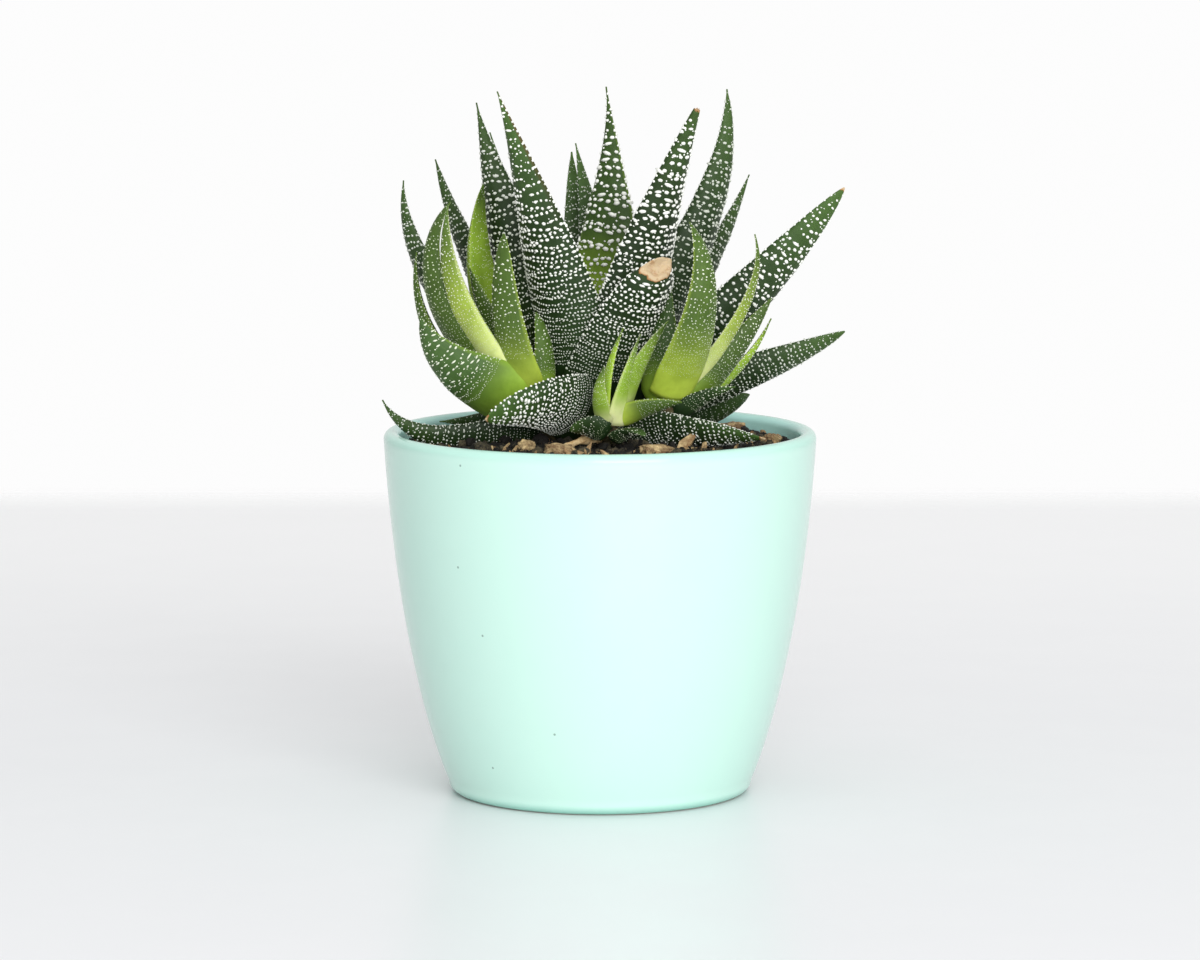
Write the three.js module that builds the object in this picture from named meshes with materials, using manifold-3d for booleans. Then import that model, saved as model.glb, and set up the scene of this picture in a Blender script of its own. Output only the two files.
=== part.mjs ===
// A haworthia with three offsets, growing in a small glazed pot.
// Millimetres, +Z up. The origin is the centre of the pot's flat underside.
// X runs to the right and Y to the back.
import * as THREE from "three";
import Module from "manifold-3d";
import { mergeVertices } from "three/addons/utils/BufferGeometryUtils.js";

const wasm = await Module();
wasm.setup();

// ---- driving dimensions ----
const RIM_RADIUS = 40; // outside, just under the lip
const POT_HEIGHT = 67.5;
const FOOT_RADIUS = 26; // the flat underside
const FOOT_CORNER = 2.2;
const WALL = 3;
const FLOOR = 4.5;
const FLOOR_CORNER = 2; // height and width of the slope between the wall and the floor, inside
const WALL_SWELL = [34, 15.9, 38.5, 40.2]; // radius and height of the two points that bend the wall
const SOIL_LEVEL = 64.6; // at the wall, just below the lip
const SOIL_MOUND = 0.9; // how much higher the soil is round the plant
const GAP = 0.3; // between pieces that rest on each other
const FLAT_SOIL = 0.6; // the share of the soil's radius that is level round the plant
const POT_SIDES = 36;
const WALL_STEPS = 8;
const LIP_STEPS = 5;
const CORNER_STEPS = 3;
const STEM_SIDES = 8;
const STEM_STEPS = 6;
const ROOT_SIDES = 6;
const ROOT_STEPS = 5;

const rad = THREE.MathUtils.degToRad;
const { smoothstep } = THREE.MathUtils;

// ---- colours ----
const paint = (color, roughness) => new THREE.MeshStandardMaterial({ color, roughness, metalness: 0 });
const MINT_GLAZE = paint("#b4ecdc", 0.15);
const SOIL = paint("#3a2a20", 0.95);
const BARK = paint("#a9764a", 0.9);
const DRY_LEAF = paint("#b98b55", 0.85);
const DARK_LEAF = paint("#2f4a2c", 0.45);
const YOUNG_LEAF = paint("#7fa23a", 0.45);
const STEM = paint("#8f9a5c", 0.6);

// ---- helpers for solids ----
function solidOf(geometry) {
  const bare = geometry.clone();
  bare.deleteAttribute("normal");
  bare.deleteAttribute("uv");
  const merged = mergeVertices(bare, 1e-3);
  return new wasm.Manifold(
    new wasm.Mesh({
      numProp: 3,
      vertProperties: new Float32Array(merged.attributes.position.array),
      triVerts: new Uint32Array(merged.index.array),
    }),
  );
}

function geometryOf(solid) {
  const mesh = solid.getMesh();
  const made = new THREE.BufferGeometry();
  made.setAttribute("position", new THREE.BufferAttribute(new Float32Array(mesh.vertProperties), 3));
  made.setIndex(new THREE.BufferAttribute(new Uint32Array(mesh.triVerts), 1));
  made.computeVertexNormals();
  return made;
}

// A cut can leave slivers behind, so a piece keeps only its largest body.
const largest = (solid) =>
  solid.decompose().reduce((best, body) => (body.volume() > best.volume() ? body : best));

// Turned about the Z axis from [radius, height] points that start and end on the axis.
const turned = (points, sides) => new THREE.LatheGeometry(points, sides).rotateX(Math.PI / 2);

// A tube of one radius along points, closed at both ends.
function tube(points, radius, steps, sides) {
  const section = new THREE.Shape();
  section.absarc(0, 0, radius, 0, 2 * Math.PI);
  return new THREE.ExtrudeGeometry(section, {
    steps,
    curveSegments: sides / 2, // an arc in a path is given twice this many
    bevelEnabled: false,
    extrudePath: new THREE.CatmullRomCurve3(points),
  });
}

// ---- the pot: one glazed shell with a flat underside and a round lip ----
const wallCurve = new THREE.CubicBezierCurve(
  new THREE.Vector2(FOOT_RADIUS + FOOT_CORNER, FOOT_CORNER),
  new THREE.Vector2(WALL_SWELL[0], WALL_SWELL[1]),
  new THREE.Vector2(WALL_SWELL[2], WALL_SWELL[3]),
  new THREE.Vector2(RIM_RADIUS, POT_HEIGHT - WALL / 2),
);

// Points from the lip down to a lowest height, inset from the wall's outer curve by a thickness.
function innerWall(thickness, steps, lowest) {
  const points = [];
  for (let i = 0; i <= steps; i++) {
    const t = 1 - i / steps;
    const p = wallCurve.getPoint(t);
    const along = wallCurve.getTangent(t);
    const inset = new THREE.Vector2(p.x - along.y * thickness, p.y + along.x * thickness);
    if (inset.y > lowest) points.push(inset);
  }
  return points;
}

function potGeometry() {
  const corner = new THREE.EllipseCurve(
    FOOT_RADIUS, FOOT_CORNER, FOOT_CORNER, FOOT_CORNER, -Math.PI / 2, 0,
  ).getPoints(CORNER_STEPS);
  const lip = new THREE.EllipseCurve(
    RIM_RADIUS - WALL / 2, POT_HEIGHT - WALL / 2, WALL / 2, WALL / 2, 0, Math.PI,
  ).getPoints(LIP_STEPS);
  const inner = innerWall(WALL, WALL_STEPS - 1, FLOOR + FLOOR_CORNER);
  return turned(
    [
      new THREE.Vector2(0, 0),
      ...corner,
      ...wallCurve.getPoints(WALL_STEPS).slice(1, -1),
      ...lip,
      ...inner.slice(1),
      new THREE.Vector2(inner.at(-1).x - FLOOR_CORNER, FLOOR),
      new THREE.Vector2(0, FLOOR),
    ],
    POT_SIDES,
  );
}

// The soil fills the pot to just under the lip.
function soilGeometry() {
  const bottom = FLOOR + GAP;
  const side = innerWall(WALL + GAP, WALL_STEPS - 1, bottom + FLOOR_CORNER)
    .filter((p) => p.y < SOIL_LEVEL)
    .reverse();
  const edge = innerWall(WALL + GAP, WALL_STEPS * 8, SOIL_LEVEL).at(-1).x;
  return turned(
    [
      new THREE.Vector2(0, bottom),
      new THREE.Vector2(side[0].x - FLOOR_CORNER, bottom),
      ...side,
      new THREE.Vector2(edge, SOIL_LEVEL),
      new THREE.Vector2(edge * FLAT_SOIL, SOIL_LEVEL + SOIL_MOUND),
      new THREE.Vector2(0, SOIL_LEVEL + SOIL_MOUND),
    ],
    POT_SIDES,
  );
}

// ---- the rosettes: a stem each, and its leaves ----
// x, y is the place of a rosette's centre, top the height of its growing point and radius its stem's.
// Of a leaf, up is the height of its base and turn the azimuth it grows to, from +X towards +Y. lean is its
// angle from the vertical at the base and at the tip, late how late along it that changes, and sweep how far
// the azimuth turns along it. roll turns its faces about its own line, taper says how fast it narrows, base
// is its width where it starts as a share of the widest, and cut the share of its length that is lost where
// the tip is broken off.
const ROSETTES = {
  main: {
    x: -0.5, y: 3, top: 77, radius: 3.6, material: DARK_LEAF, rings: 7,
    leaves: [
      { up: 69.5, turn: -63, lean: [17, 58], length: 54, width: 20, sweep: 22, cut: 0.345 },
      { up: 72, turn: 228, lean: [16, 27], length: 63.2, width: 19.5, sweep: -4 },
      { up: 71, turn: -41, lean: [12, 30], length: 65, width: 20.5, cut: 0.08 },
      { up: 75, turn: 76, lean: [13, -17], length: 56, width: 19, sweep: -10, late: 2.4, taper: 1.55 },
      { up: 73, turn: 182, lean: [27, 12], length: 58.2, width: 18.4, taper: 1.25, roll: 60 },
      { up: 73, turn: 0, lean: [28, -6], length: 61.7, width: 14, taper: 0.9, late: 3.3, roll: -50 },
      { up: 71, turn: 97, lean: [46, 5], length: 52.1, width: 9.5, sweep: 13, taper: 0.8 },
      { up: 72, turn: 79, lean: [28, 17], length: 50.8, width: 11, sweep: 55, taper: 1 },
      { up: 72.5, turn: 143, lean: [27, 22], length: 53.6, width: 12, roll: 30 },
      { up: 70.5, turn: 162, lean: [45, 19], length: 54.8, width: 19, roll: 32 },
      { up: 69, turn: 178, lean: [52, -4], length: 57.4, width: 13.5, taper: 0.95, late: 2.6, roll: 40 },
      { up: 72, turn: 34, lean: [47, 28], length: 52, width: 15, taper: 0.95, roll: -45 },
      { up: 69.5, turn: -1, lean: [51, 39], length: 60.5, width: 13.2, sweep: -6, taper: 0.65, roll: -60 },
      {
        up: 69, turn: 0, lean: [71, 63], length: 46, width: 10.4, sweep: -3, taper: 0.65, late: 3,
        roll: -60,
      },
      { up: 67.5, turn: -34, lean: [84, 95], length: 34, width: 17, taper: 0.8, roll: -25 },
      { up: 67.6, turn: 187, lean: [96, 26], length: 40.5, width: 15, sweep: 15, late: 3.5, roll: 38 },
      { up: 68.7, turn: -108, lean: [60, 108], length: 33, width: 14, sweep: -40, taper: 0.55, roll: 60 },
      { up: 67.5, turn: 18, lean: [85, 62], length: 27.7, width: 14, late: 3, taper: 0.6, roll: -50 },
      { up: 67.3, turn: 163, lean: [85, 94], length: 28, width: 12, roll: 40 },
      { up: 69, turn: 60, lean: [66, 50], length: 34, width: 12 },
      { up: 70, turn: 98, lean: [52, 38], length: 42, width: 12 },
      { up: 68, turn: 132, lean: [72, 60], length: 36, width: 11 },
      { up: 67.5, turn: 82, lean: [82, 84], length: 31, width: 11 },
    ],
  },
  left: {
    x: -12, y: -6.5, top: 78, radius: 1.7, material: YOUNG_LEAF, rings: 5,
    leaves: [
      {
        up: 75, turn: 230, lean: [42, -4], length: 31.2, width: 9, sweep: -5, taper: 0.55, late: 0.6,
        base: 0.85,
      },
      {
        up: 74, turn: 178, lean: [39, -9], length: 39.5, width: 12, sweep: 34, taper: 1, late: 1.9,
        roll: 10, base: 0.45,
      },
      { up: 74, turn: 178, lean: [52, -39], length: 43.3, width: 9.6, taper: 0.8, late: 1.9, roll: 45 },
      { up: 76, turn: 150, lean: [42, -13], length: 39.6, width: 12, taper: 0.65 },
      { up: 76, turn: 182, lean: [33, 18], length: 24.4, width: 8, taper: 0.8, roll: 40 },
      { up: 73, turn: 161, lean: [83, -6], length: 38.6, width: 9.6, roll: 30 },
      { up: 73, turn: 197, lean: [66, 16], length: 27, width: 14.6, taper: 0.9, late: 2.3, roll: 50 },
      { up: 74, turn: 10, lean: [11, -19], length: 16, width: 5.6, taper: 0.6, roll: -60 },
    ],
  },
  right: {
    x: 12.6, y: -8.5, top: 77, radius: 1.8, material: YOUNG_LEAF, rings: 5,
    leaves: [
      {
        up: 75.5, turn: -58, lean: [35, -46], length: 34.9, width: 10.2, taper: 0.85, base: 0.95, sweep: 8,
        late: 2.2,
      },
      {
        up: 73, turn: 0, lean: [37, -17], length: 35.6, width: 5, sweep: -5, taper: 0.8, late: 3.2,
        roll: -30,
      },
      { up: 72.5, turn: 8, lean: [49, 34], length: 26.6, width: 7.5, taper: 0.8, roll: -70 },
      { up: 73, turn: 24, lean: [76, 28], length: 25.2, width: 6.5, roll: -30 },
      { up: 73, turn: 200, lean: [2, -12], length: 21.5, width: 9, taper: 0.9, roll: 40 },
      { up: 71, turn: -13, lean: [46, 80], length: 12.5, width: 6, taper: 0.8, roll: -30 },
    ],
  },
  front: {
    x: 2, y: -15.5, top: 72, radius: 1.2, material: YOUNG_LEAF, rings: 4,
    leaves: [
      { up: 70.2, turn: 191, lean: [3, -24], length: 18, width: 4.6, taper: 0.7 },
      { up: 70.2, turn: -24, lean: [8, 23], length: 17.3, width: 6.2, sweep: 15, taper: 0.7 },
      { up: 70.2, turn: -2, lean: [14, 39], length: 21.3, width: 5.6, taper: 0.8, roll: -40 },
      { up: 71, turn: -8, lean: [62, 86], length: 12.6, width: 5.4, taper: 0.8, roll: -50 },
      { up: 70.2, turn: 230, lean: [42, -32], length: 11.5, width: 4.4, taper: 0.8 },
      { up: 68.6, turn: 192, lean: [50, 120], length: 7.2, width: 7, taper: 0.5, roll: 40 },
      { up: 67.6, turn: -38, lean: [40, 124], length: 7.6, width: 5.5, taper: 0.5 },
    ],
  },
};

const CROWN_BOTTOM = 54; // the main stem goes this deep into the soil
const CROWN_SHOULDER = 3; // height over which the crown widens from its underside
const CROWN_NARROW = 0.6; // radius of its underside, as a share of the stem's
const NECK_LOW = 8; // the stem narrows from this far below its growing point
const NECK_HIGH = 2; // to this far below it
const NECK_NARROW = 0.55; // radius there, as a share of the stem's
const ROOT_RADIUS = 1.1;
const ROOT_START = 4; // height above the crown's underside
const ROOT_BENDS = [0.45, 0.85]; // shares of a root's reach at which it starts and ends its bend
// The thick roots leave the crown level and turn down: [azimuth, reach, lowest height].
const ROOTS = [
  [30, 24, 28],
  [110, 20, 22],
  [195, 25, 32],
  [300, 22, 20],
];

function mainStemSolid(grow) {
  const { x, y, top, radius } = ROSETTES.main;
  const r = radius + grow;
  const profile = [
    new THREE.Vector2(0, CROWN_BOTTOM - grow),
    new THREE.Vector2(r * CROWN_NARROW, CROWN_BOTTOM - grow),
    new THREE.Vector2(r, CROWN_BOTTOM + CROWN_SHOULDER),
    new THREE.Vector2(r, top - NECK_LOW),
    new THREE.Vector2(r * NECK_NARROW, top - NECK_HIGH),
    new THREE.Vector2(0, top + grow),
  ];
  return solidOf(turned(profile, STEM_SIDES).translate(x, y, 0));
}

function rootSolid([azimuth, reach, lowest], grow) {
  const { x, y } = ROSETTES.main;
  const at = (r, z) =>
    new THREE.Vector3(x + r * Math.cos(rad(azimuth)), y + r * Math.sin(rad(azimuth)), z);
  const points = [
    at(0, CROWN_BOTTOM + ROOT_START),
    at(reach * ROOT_BENDS[0], CROWN_BOTTOM),
    at(reach * ROOT_BENDS[1], (CROWN_BOTTOM + lowest) / 2),
    at(reach, lowest - grow),
  ];
  return solidOf(tube(points, ROOT_RADIUS + grow, ROOT_STEPS, ROOT_SIDES));
}

const mainStemWithRoots = (grow) =>
  ROOTS.reduce((all, root) => all.add(rootSolid(root, grow)), mainStemSolid(grow));

// An offset's stem bends out of the main stem's side and turns up into its rosette.
const RUNNER_START = 0.4; // share of the main stem's radius
const RUNNER_HEIGHT = 1.2; // above the soil's edge
const RUNNER_RISE = 0.4; // by the middle of the way, and outwards at the top
const RUNNER_SAG = 0.5; // below the middle height, at the bend
function offsetStemSolid(rosette, grow) {
  const { x, y, radius } = ROSETTES.main;
  const out = new THREE.Vector2(rosette.x - x, rosette.y - y).normalize();
  const start = radius * RUNNER_START;
  const level = SOIL_LEVEL + RUNNER_HEIGHT;
  const points = [
    new THREE.Vector3(x + out.x * start, y + out.y * start, level),
    new THREE.Vector3((rosette.x + x) / 2, (rosette.y + y) / 2, level + RUNNER_RISE),
    new THREE.Vector3(rosette.x, rosette.y, (level + rosette.top) / 2 - RUNNER_SAG),
    new THREE.Vector3(
      rosette.x + out.x * RUNNER_RISE, rosette.y + out.y * RUNNER_RISE, rosette.top + grow,
    ),
  ];
  return solidOf(tube(points, rosette.radius + grow, STEM_STEPS, STEM_SIDES));
}

// ---- leaves ----
const LEAF_SIDES = 8;
const LEAF_ROOT = 0.8; // where a leaf starts, as a share of the stem's radius
const SPINE_STEPS = 24;
const CLASP = 0.14; // the share of the length over which a leaf widens from its clasping base
const BASE_WIDTH = 0.62; // of a leaf at its very base, as a share of the widest, where it has none of its own
const THICKNESS = 0.38; // of the widest width
const TAPER = 1.2; // of the width, where a leaf has none of its own
const THICK_TAPER = 0.85;
const TIP = 0.25; // half width of a leaf's tip
const OUTER_SHARE = 0.68; // of the thickness, on the side that faces away from the stem
const CUP = 0.16; // how far the margins bend towards the stem, as a share of the half width

// A leaf's middle line: points from its base to its tip, with the directions at each.
function spineOf(leaf, rosette) {
  const [baseLean, tipLean] = leaf.lean;
  const start = rosette.radius * LEAF_ROOT;
  const point = new THREE.Vector3(
    rosette.x + start * Math.cos(rad(leaf.turn)),
    rosette.y + start * Math.sin(rad(leaf.turn)),
    leaf.up,
  );
  const spine = [];
  for (let i = 0; i < SPINE_STEPS; i++) {
    const s = (i + 0.5) / SPINE_STEPS;
    const lean = rad(baseLean + (tipLean - baseLean) * s ** (leaf.late ?? 1));
    const turn = rad(leaf.turn + (leaf.sweep ?? 0) * s);
    const along = new THREE.Vector3(
      Math.sin(lean) * Math.cos(turn), Math.sin(lean) * Math.sin(turn), Math.cos(lean),
    );
    const outward = new THREE.Vector3(
      Math.cos(lean) * Math.cos(turn), Math.cos(lean) * Math.sin(turn), -Math.sin(lean),
    ).applyAxisAngle(along, rad(leaf.roll ?? 0));
    const across = new THREE.Vector3().crossVectors(along, outward);
    spine.push({ point: point.clone(), along, outward, across });
    point.addScaledVector(along, leaf.length / SPINE_STEPS);
  }
  return spine;
}

// A cylinder, closed at both ends, bent along the leaf's middle line and pressed to its section.
function leafSolid(leaf, rosette, grow) {
  const spine = spineOf(leaf, rosette);
  const made = new THREE.CylinderGeometry(1, 1, 1, LEAF_SIDES, rosette.rings);
  const position = made.attributes.position;
  const end = 1 - (leaf.cut ?? 0);
  for (let i = 0; i < position.count; i++) {
    const s = (position.getY(i) + 0.5) * end;
    const step = Math.min(s * SPINE_STEPS, SPINE_STEPS - 1e-6);
    const { point, along, outward, across } = spine[Math.floor(step)];
    const narrowing = Math.sin(((1 - s) * Math.PI) / 2);
    const base = leaf.base ?? BASE_WIDTH;
    const share = base + (1 - base) * smoothstep(s, 0, CLASP);
    const half = Math.max(TIP, (leaf.width / 2) * share * narrowing ** (leaf.taper ?? TAPER)) + grow;
    const deep = Math.max(TIP, THICKNESS * leaf.width * narrowing ** THICK_TAPER) + 2 * grow;
    const side = position.getX(i);
    const face = position.getZ(i);
    const bulge = face * deep * (face > 0 ? OUTER_SHARE : 1 - OUTER_SHARE);
    const out = bulge - CUP * half * side * side * (1 - s);
    const beyond = s === 0 ? -grow : s === end ? grow : 0;
    const p = point.clone();
    p.addScaledVector(along, (step % 1) * (leaf.length / SPINE_STEPS) + beyond);
    p.addScaledVector(across, side * half).addScaledVector(outward, out);
    position.setXYZ(i, p.x, p.y, p.z);
  }
  return solidOf(made);
}

// ---- bark and dry bits that lie in the soil ----
// at: the middle, in the soil's surface; size: length, width and thickness; turn and tilt: of the long side.
const CHIP_SIDES = 7;
const CHIP_RINGS = 4;
const CHIPS = [
  { name: "bark_chip_1", at: [-7.2, -21, 65.8], size: [6, 4, 3.2], turn: 10, tilt: 8 },
  { name: "bark_chip_2", at: [-17.3, 1, 66], size: [5, 3.4, 3], turn: -35, tilt: -12 },
  { name: "bark_chip_3", at: [-13.4, -14, 65.7], size: [4, 3, 3], turn: 60, tilt: 10 },
  { name: "bark_chip_4", at: [10.5, -20.5, 65.8], size: [7, 4, 2.8], turn: 25, tilt: 6 },
  { name: "bark_chip_5", at: [31.8, 0, 65.3], size: [5, 3.4, 2.8], turn: 70, tilt: 10 },
  { name: "bark_chip_6", at: [25, 19, 65.2], size: [6.4, 4, 3], turn: 130, tilt: 5 },
  { name: "bark_chip_7", at: [-20, 23, 65.2], size: [6, 4, 3], turn: 40, tilt: -6 },
];

function chipSolid(chip, grow) {
  const [length, width, thickness] = chip.size;
  const made = new THREE.SphereGeometry(1, CHIP_SIDES, CHIP_RINGS);
  made.scale(length / 2 + grow, width / 2 + grow, thickness / 2 + grow);
  made.rotateY(rad(chip.tilt)).rotateZ(rad(chip.turn)).translate(...chip.at);
  return solidOf(made);
}

// A dry stalk that lies on the soil beside the small offset.
const STALK_RADIUS = 0.55;
const STALK = [[-7.4, -17.5, 66], [-3.4, -13.6, 66.9], [-0.4, -12.2, 67], [1.6, -9, 66]];

const stalkSolid = (grow) =>
  solidOf(tube(STALK.map((p) => new THREE.Vector3(...p)), STALK_RADIUS + grow, ROOT_STEPS, ROOT_SIDES));

// ---- assembly ----
const plant = new THREE.Group();
const taken = [];

// Pieces are added from the inside out. Each is made with grow 0 and keeps clear of the ones before it,
// which were made again with grow GAP, as leaves that grew against each other do.
function place(name, material, make) {
  let solid = make(0);
  const box = solid.boundingBox();
  for (const other of taken) {
    const near = other.boundingBox();
    const apart = [0, 1, 2].some((k) => near.min[k] > box.max[k] || near.max[k] < box.min[k]);
    if (!apart) solid = solid.subtract(other);
  }
  taken.push(make(GAP));
  const mesh = new THREE.Mesh(geometryOf(largest(solid)), material);
  mesh.name = name;
  plant.add(mesh);
}

place("main_stem", STEM, mainStemWithRoots);
for (const side of ["left", "right", "front"]) {
  place(`${side}_offset_stem`, STEM, (grow) => offsetStemSolid(ROSETTES[side], grow));
}
for (const [side, rosette] of Object.entries(ROSETTES)) {
  rosette.leaves.forEach((leaf, i) => {
    const name = `${side}_leaf_${String(i + 1).padStart(2, "0")}`;
    place(name, rosette.material, (grow) => leafSolid(leaf, rosette, grow));
  });
}
for (const chip of CHIPS) place(chip.name, BARK, (grow) => chipSolid(chip, grow));
place("dry_stalk", DRY_LEAF, stalkSolid);
place("soil", SOIL, () => solidOf(soilGeometry()));

const pot = new THREE.Mesh(potGeometry(), MINT_GLAZE);
pot.name = "pot";
plant.add(pot);

export default plant;
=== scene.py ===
"""A potted haworthia: leaves with white tubercles, soil with bark in it, and a glazed pot."""

import bisect
import math
import random

import bmesh
import bpy
from mathutils import Euler, Matrix, Vector, noise
from mathutils.geometry import interpolate_bezier


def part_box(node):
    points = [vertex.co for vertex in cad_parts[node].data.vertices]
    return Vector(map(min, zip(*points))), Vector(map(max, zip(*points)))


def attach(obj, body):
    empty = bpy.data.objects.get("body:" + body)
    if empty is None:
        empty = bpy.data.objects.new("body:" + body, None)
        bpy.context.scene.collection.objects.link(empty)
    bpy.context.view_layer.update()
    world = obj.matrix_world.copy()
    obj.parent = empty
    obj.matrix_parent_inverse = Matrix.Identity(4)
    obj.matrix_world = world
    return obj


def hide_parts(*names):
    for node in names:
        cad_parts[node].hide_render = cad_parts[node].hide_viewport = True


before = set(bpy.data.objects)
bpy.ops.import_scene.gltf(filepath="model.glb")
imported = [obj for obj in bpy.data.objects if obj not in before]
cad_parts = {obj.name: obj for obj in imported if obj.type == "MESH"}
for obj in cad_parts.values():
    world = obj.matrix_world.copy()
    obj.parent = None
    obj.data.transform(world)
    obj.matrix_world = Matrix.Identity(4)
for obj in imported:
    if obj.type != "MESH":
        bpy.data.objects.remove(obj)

bl_info = {
    "name": "Potted Haworthia",
    "version": (1, 0, 0),
    "blender": (4, 5, 0),
    "location": "View3D > Sidebar > Haworthia",
    "description": "A haworthia with three offsets in a mint glazed pot",
    "category": "Add Mesh",
}

MM = 0.001
BODY = "root"


def srgb(code):
    """A colour written as 0xRRGGBB, as the linear red, green, blue and alpha that the shaders take."""
    parts = [(code >> shift & 255) / 255 for shift in (16, 8, 0)]
    return tuple(c / 12.92 if c < 0.04045 else ((c + 0.055) / 1.055) ** 2.4 for c in parts) + (1.0,)


def smooth(value, low, high):
    """0 at low and before it, 1 at high and past it, and an even S between them."""
    t = min(1.0, max(0.0, (value - low) / (high - low)))
    return t * t * (3 - 2 * t)


def between(value, steps, results):
    """The result that belongs to value, read from a rising list of steps and a result for each."""
    i = min(max(bisect.bisect(steps, value), 1), len(steps) - 1)
    share = (value - steps[i - 1]) / (steps[i] - steps[i - 1])
    return results[i - 1] + (results[i] - results[i - 1]) * share


# ---- the pot, in millimetres, as the frame has it ----
POT_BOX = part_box("pot")
RIM_RADIUS = POT_BOX[1].x / MM
POT_HEIGHT = POT_BOX[1].z / MM
FOOT_RADIUS = 26
FOOT_CORNER = 2.2
WALL = 3
FLOOR = 4.5
FLOOR_CORNER = 2  # height and width of the slope between the wall and the floor, inside
WALL_SWELL = (34, 15.9), (38.5, 40.2)  # radius and height of the two points that bend the wall
POT_FACES = 144  # round the pot
LIP_SHADE = 65.2, 66.8  # heights between which the glaze deepens towards the lip
# painted light: inside the pot the glaze is painted lighter and bluer, between these radii and heights
INNER_RADII = RIM_RADIUS - 2.9, RIM_RADIUS - 1.6  # the inside's glaze goes over to the lip's between these,
INNER_HEIGHTS = 54, 56  # and starts between these, above the stretch where the outside is as narrow
SPECKS = (  # the places of the dark specks in the glaze
    (-25.1, -31.1, 64.5), (-25.6, -28.3, 45.7), (-21.2, -29.6, 33.4), (-19.5, -23.3, 8.1),
    (-8.2, -31.6, 15.7),
)
SPECK_RADIUS = 0.28
GAP = 0.3  # between the soil and the pot
SOIL_LEVEL = 64.6  # at the wall
SOIL_MOUND = 0.9  # how much higher the soil is round the plant
MOUND_RADII = 18, 34  # where the mound starts to slope down, and its foot
SOIL_ROUGHNESS = 0.45
SOIL_RINGS = 40
SOIL_FACES = 120  # round the soil
CRUMB_CLEARANCE = 1.2  # between the middles of the crumbs and the wall
CRUMB_KINDS = 0, 0, 0, 0, 1, 1, 1, 2  # moist soil, dry crumbs and bark fibres, each as often as it comes

# ---- the rosettes, in millimetres and degrees, as the frame has them ----
# Of a rosette, x and y are its stem's place, top and radius the stem's height and radius, and kind what its
# leaves have where they say nothing else.
# Of a leaf, up is the height of its base and turn the azimuth it grows to. lean is its angle from the
# vertical at the base and at the tip, late how late along it that changes, and sweep how far the azimuth
# turns. roll turns its faces about its own line, taper says how fast it narrows, base is its width where it
# starts as a share of the widest, cut the share of its length lost, and slant how much lower its outer face
# is cut. dry is the share of it that has dried at its end, cap how far a cut end has dried, and rust how
# brown its margins are towards the tip. dull says how far its tubercles are painted in shade, a darker
# green, where the leaf lies in shade, and dot_shade how far at its base, where the leaves crowd and that is
# more. skin names its finish. Of the tubercles, row is the spacing of their rows and dot their length where
# they are full-grown, gap what is between two as a share of dot, stray how far they leave their row, start
# the share of the leaf that has none, grow the share over which they reach their full size, thin where they
# start to thin out, dash how many run together and reach how far at most, and inner how many the face
# towards the stem has, as a share of the outer face's.
MATURE = dict(
    late=1, sweep=0, roll=0, taper=1.2, base=0.62, cut=0, slant=0, dry=0, cap=1.4, rust=0, dull=0, dot_shade=0.5,
    skin="mature", row=1.35, dot=1.0, gap=0.36, stray=0.28, start=0.1, grow=0.6, thin=0.75, dash=0.25,
    reach=2, inner=0.9,
)
YOUNG = MATURE | dict(skin="young", row=0.95, dot=0.42, gap=1.1, stray=0.9, start=0.28, dash=0.05, inner=0.7)
TENDER = MATURE | dict(skin="tender", row=0.9, dot=0.3, gap=1.3, stray=1, start=0.38, dash=0, inner=0.5)

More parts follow.
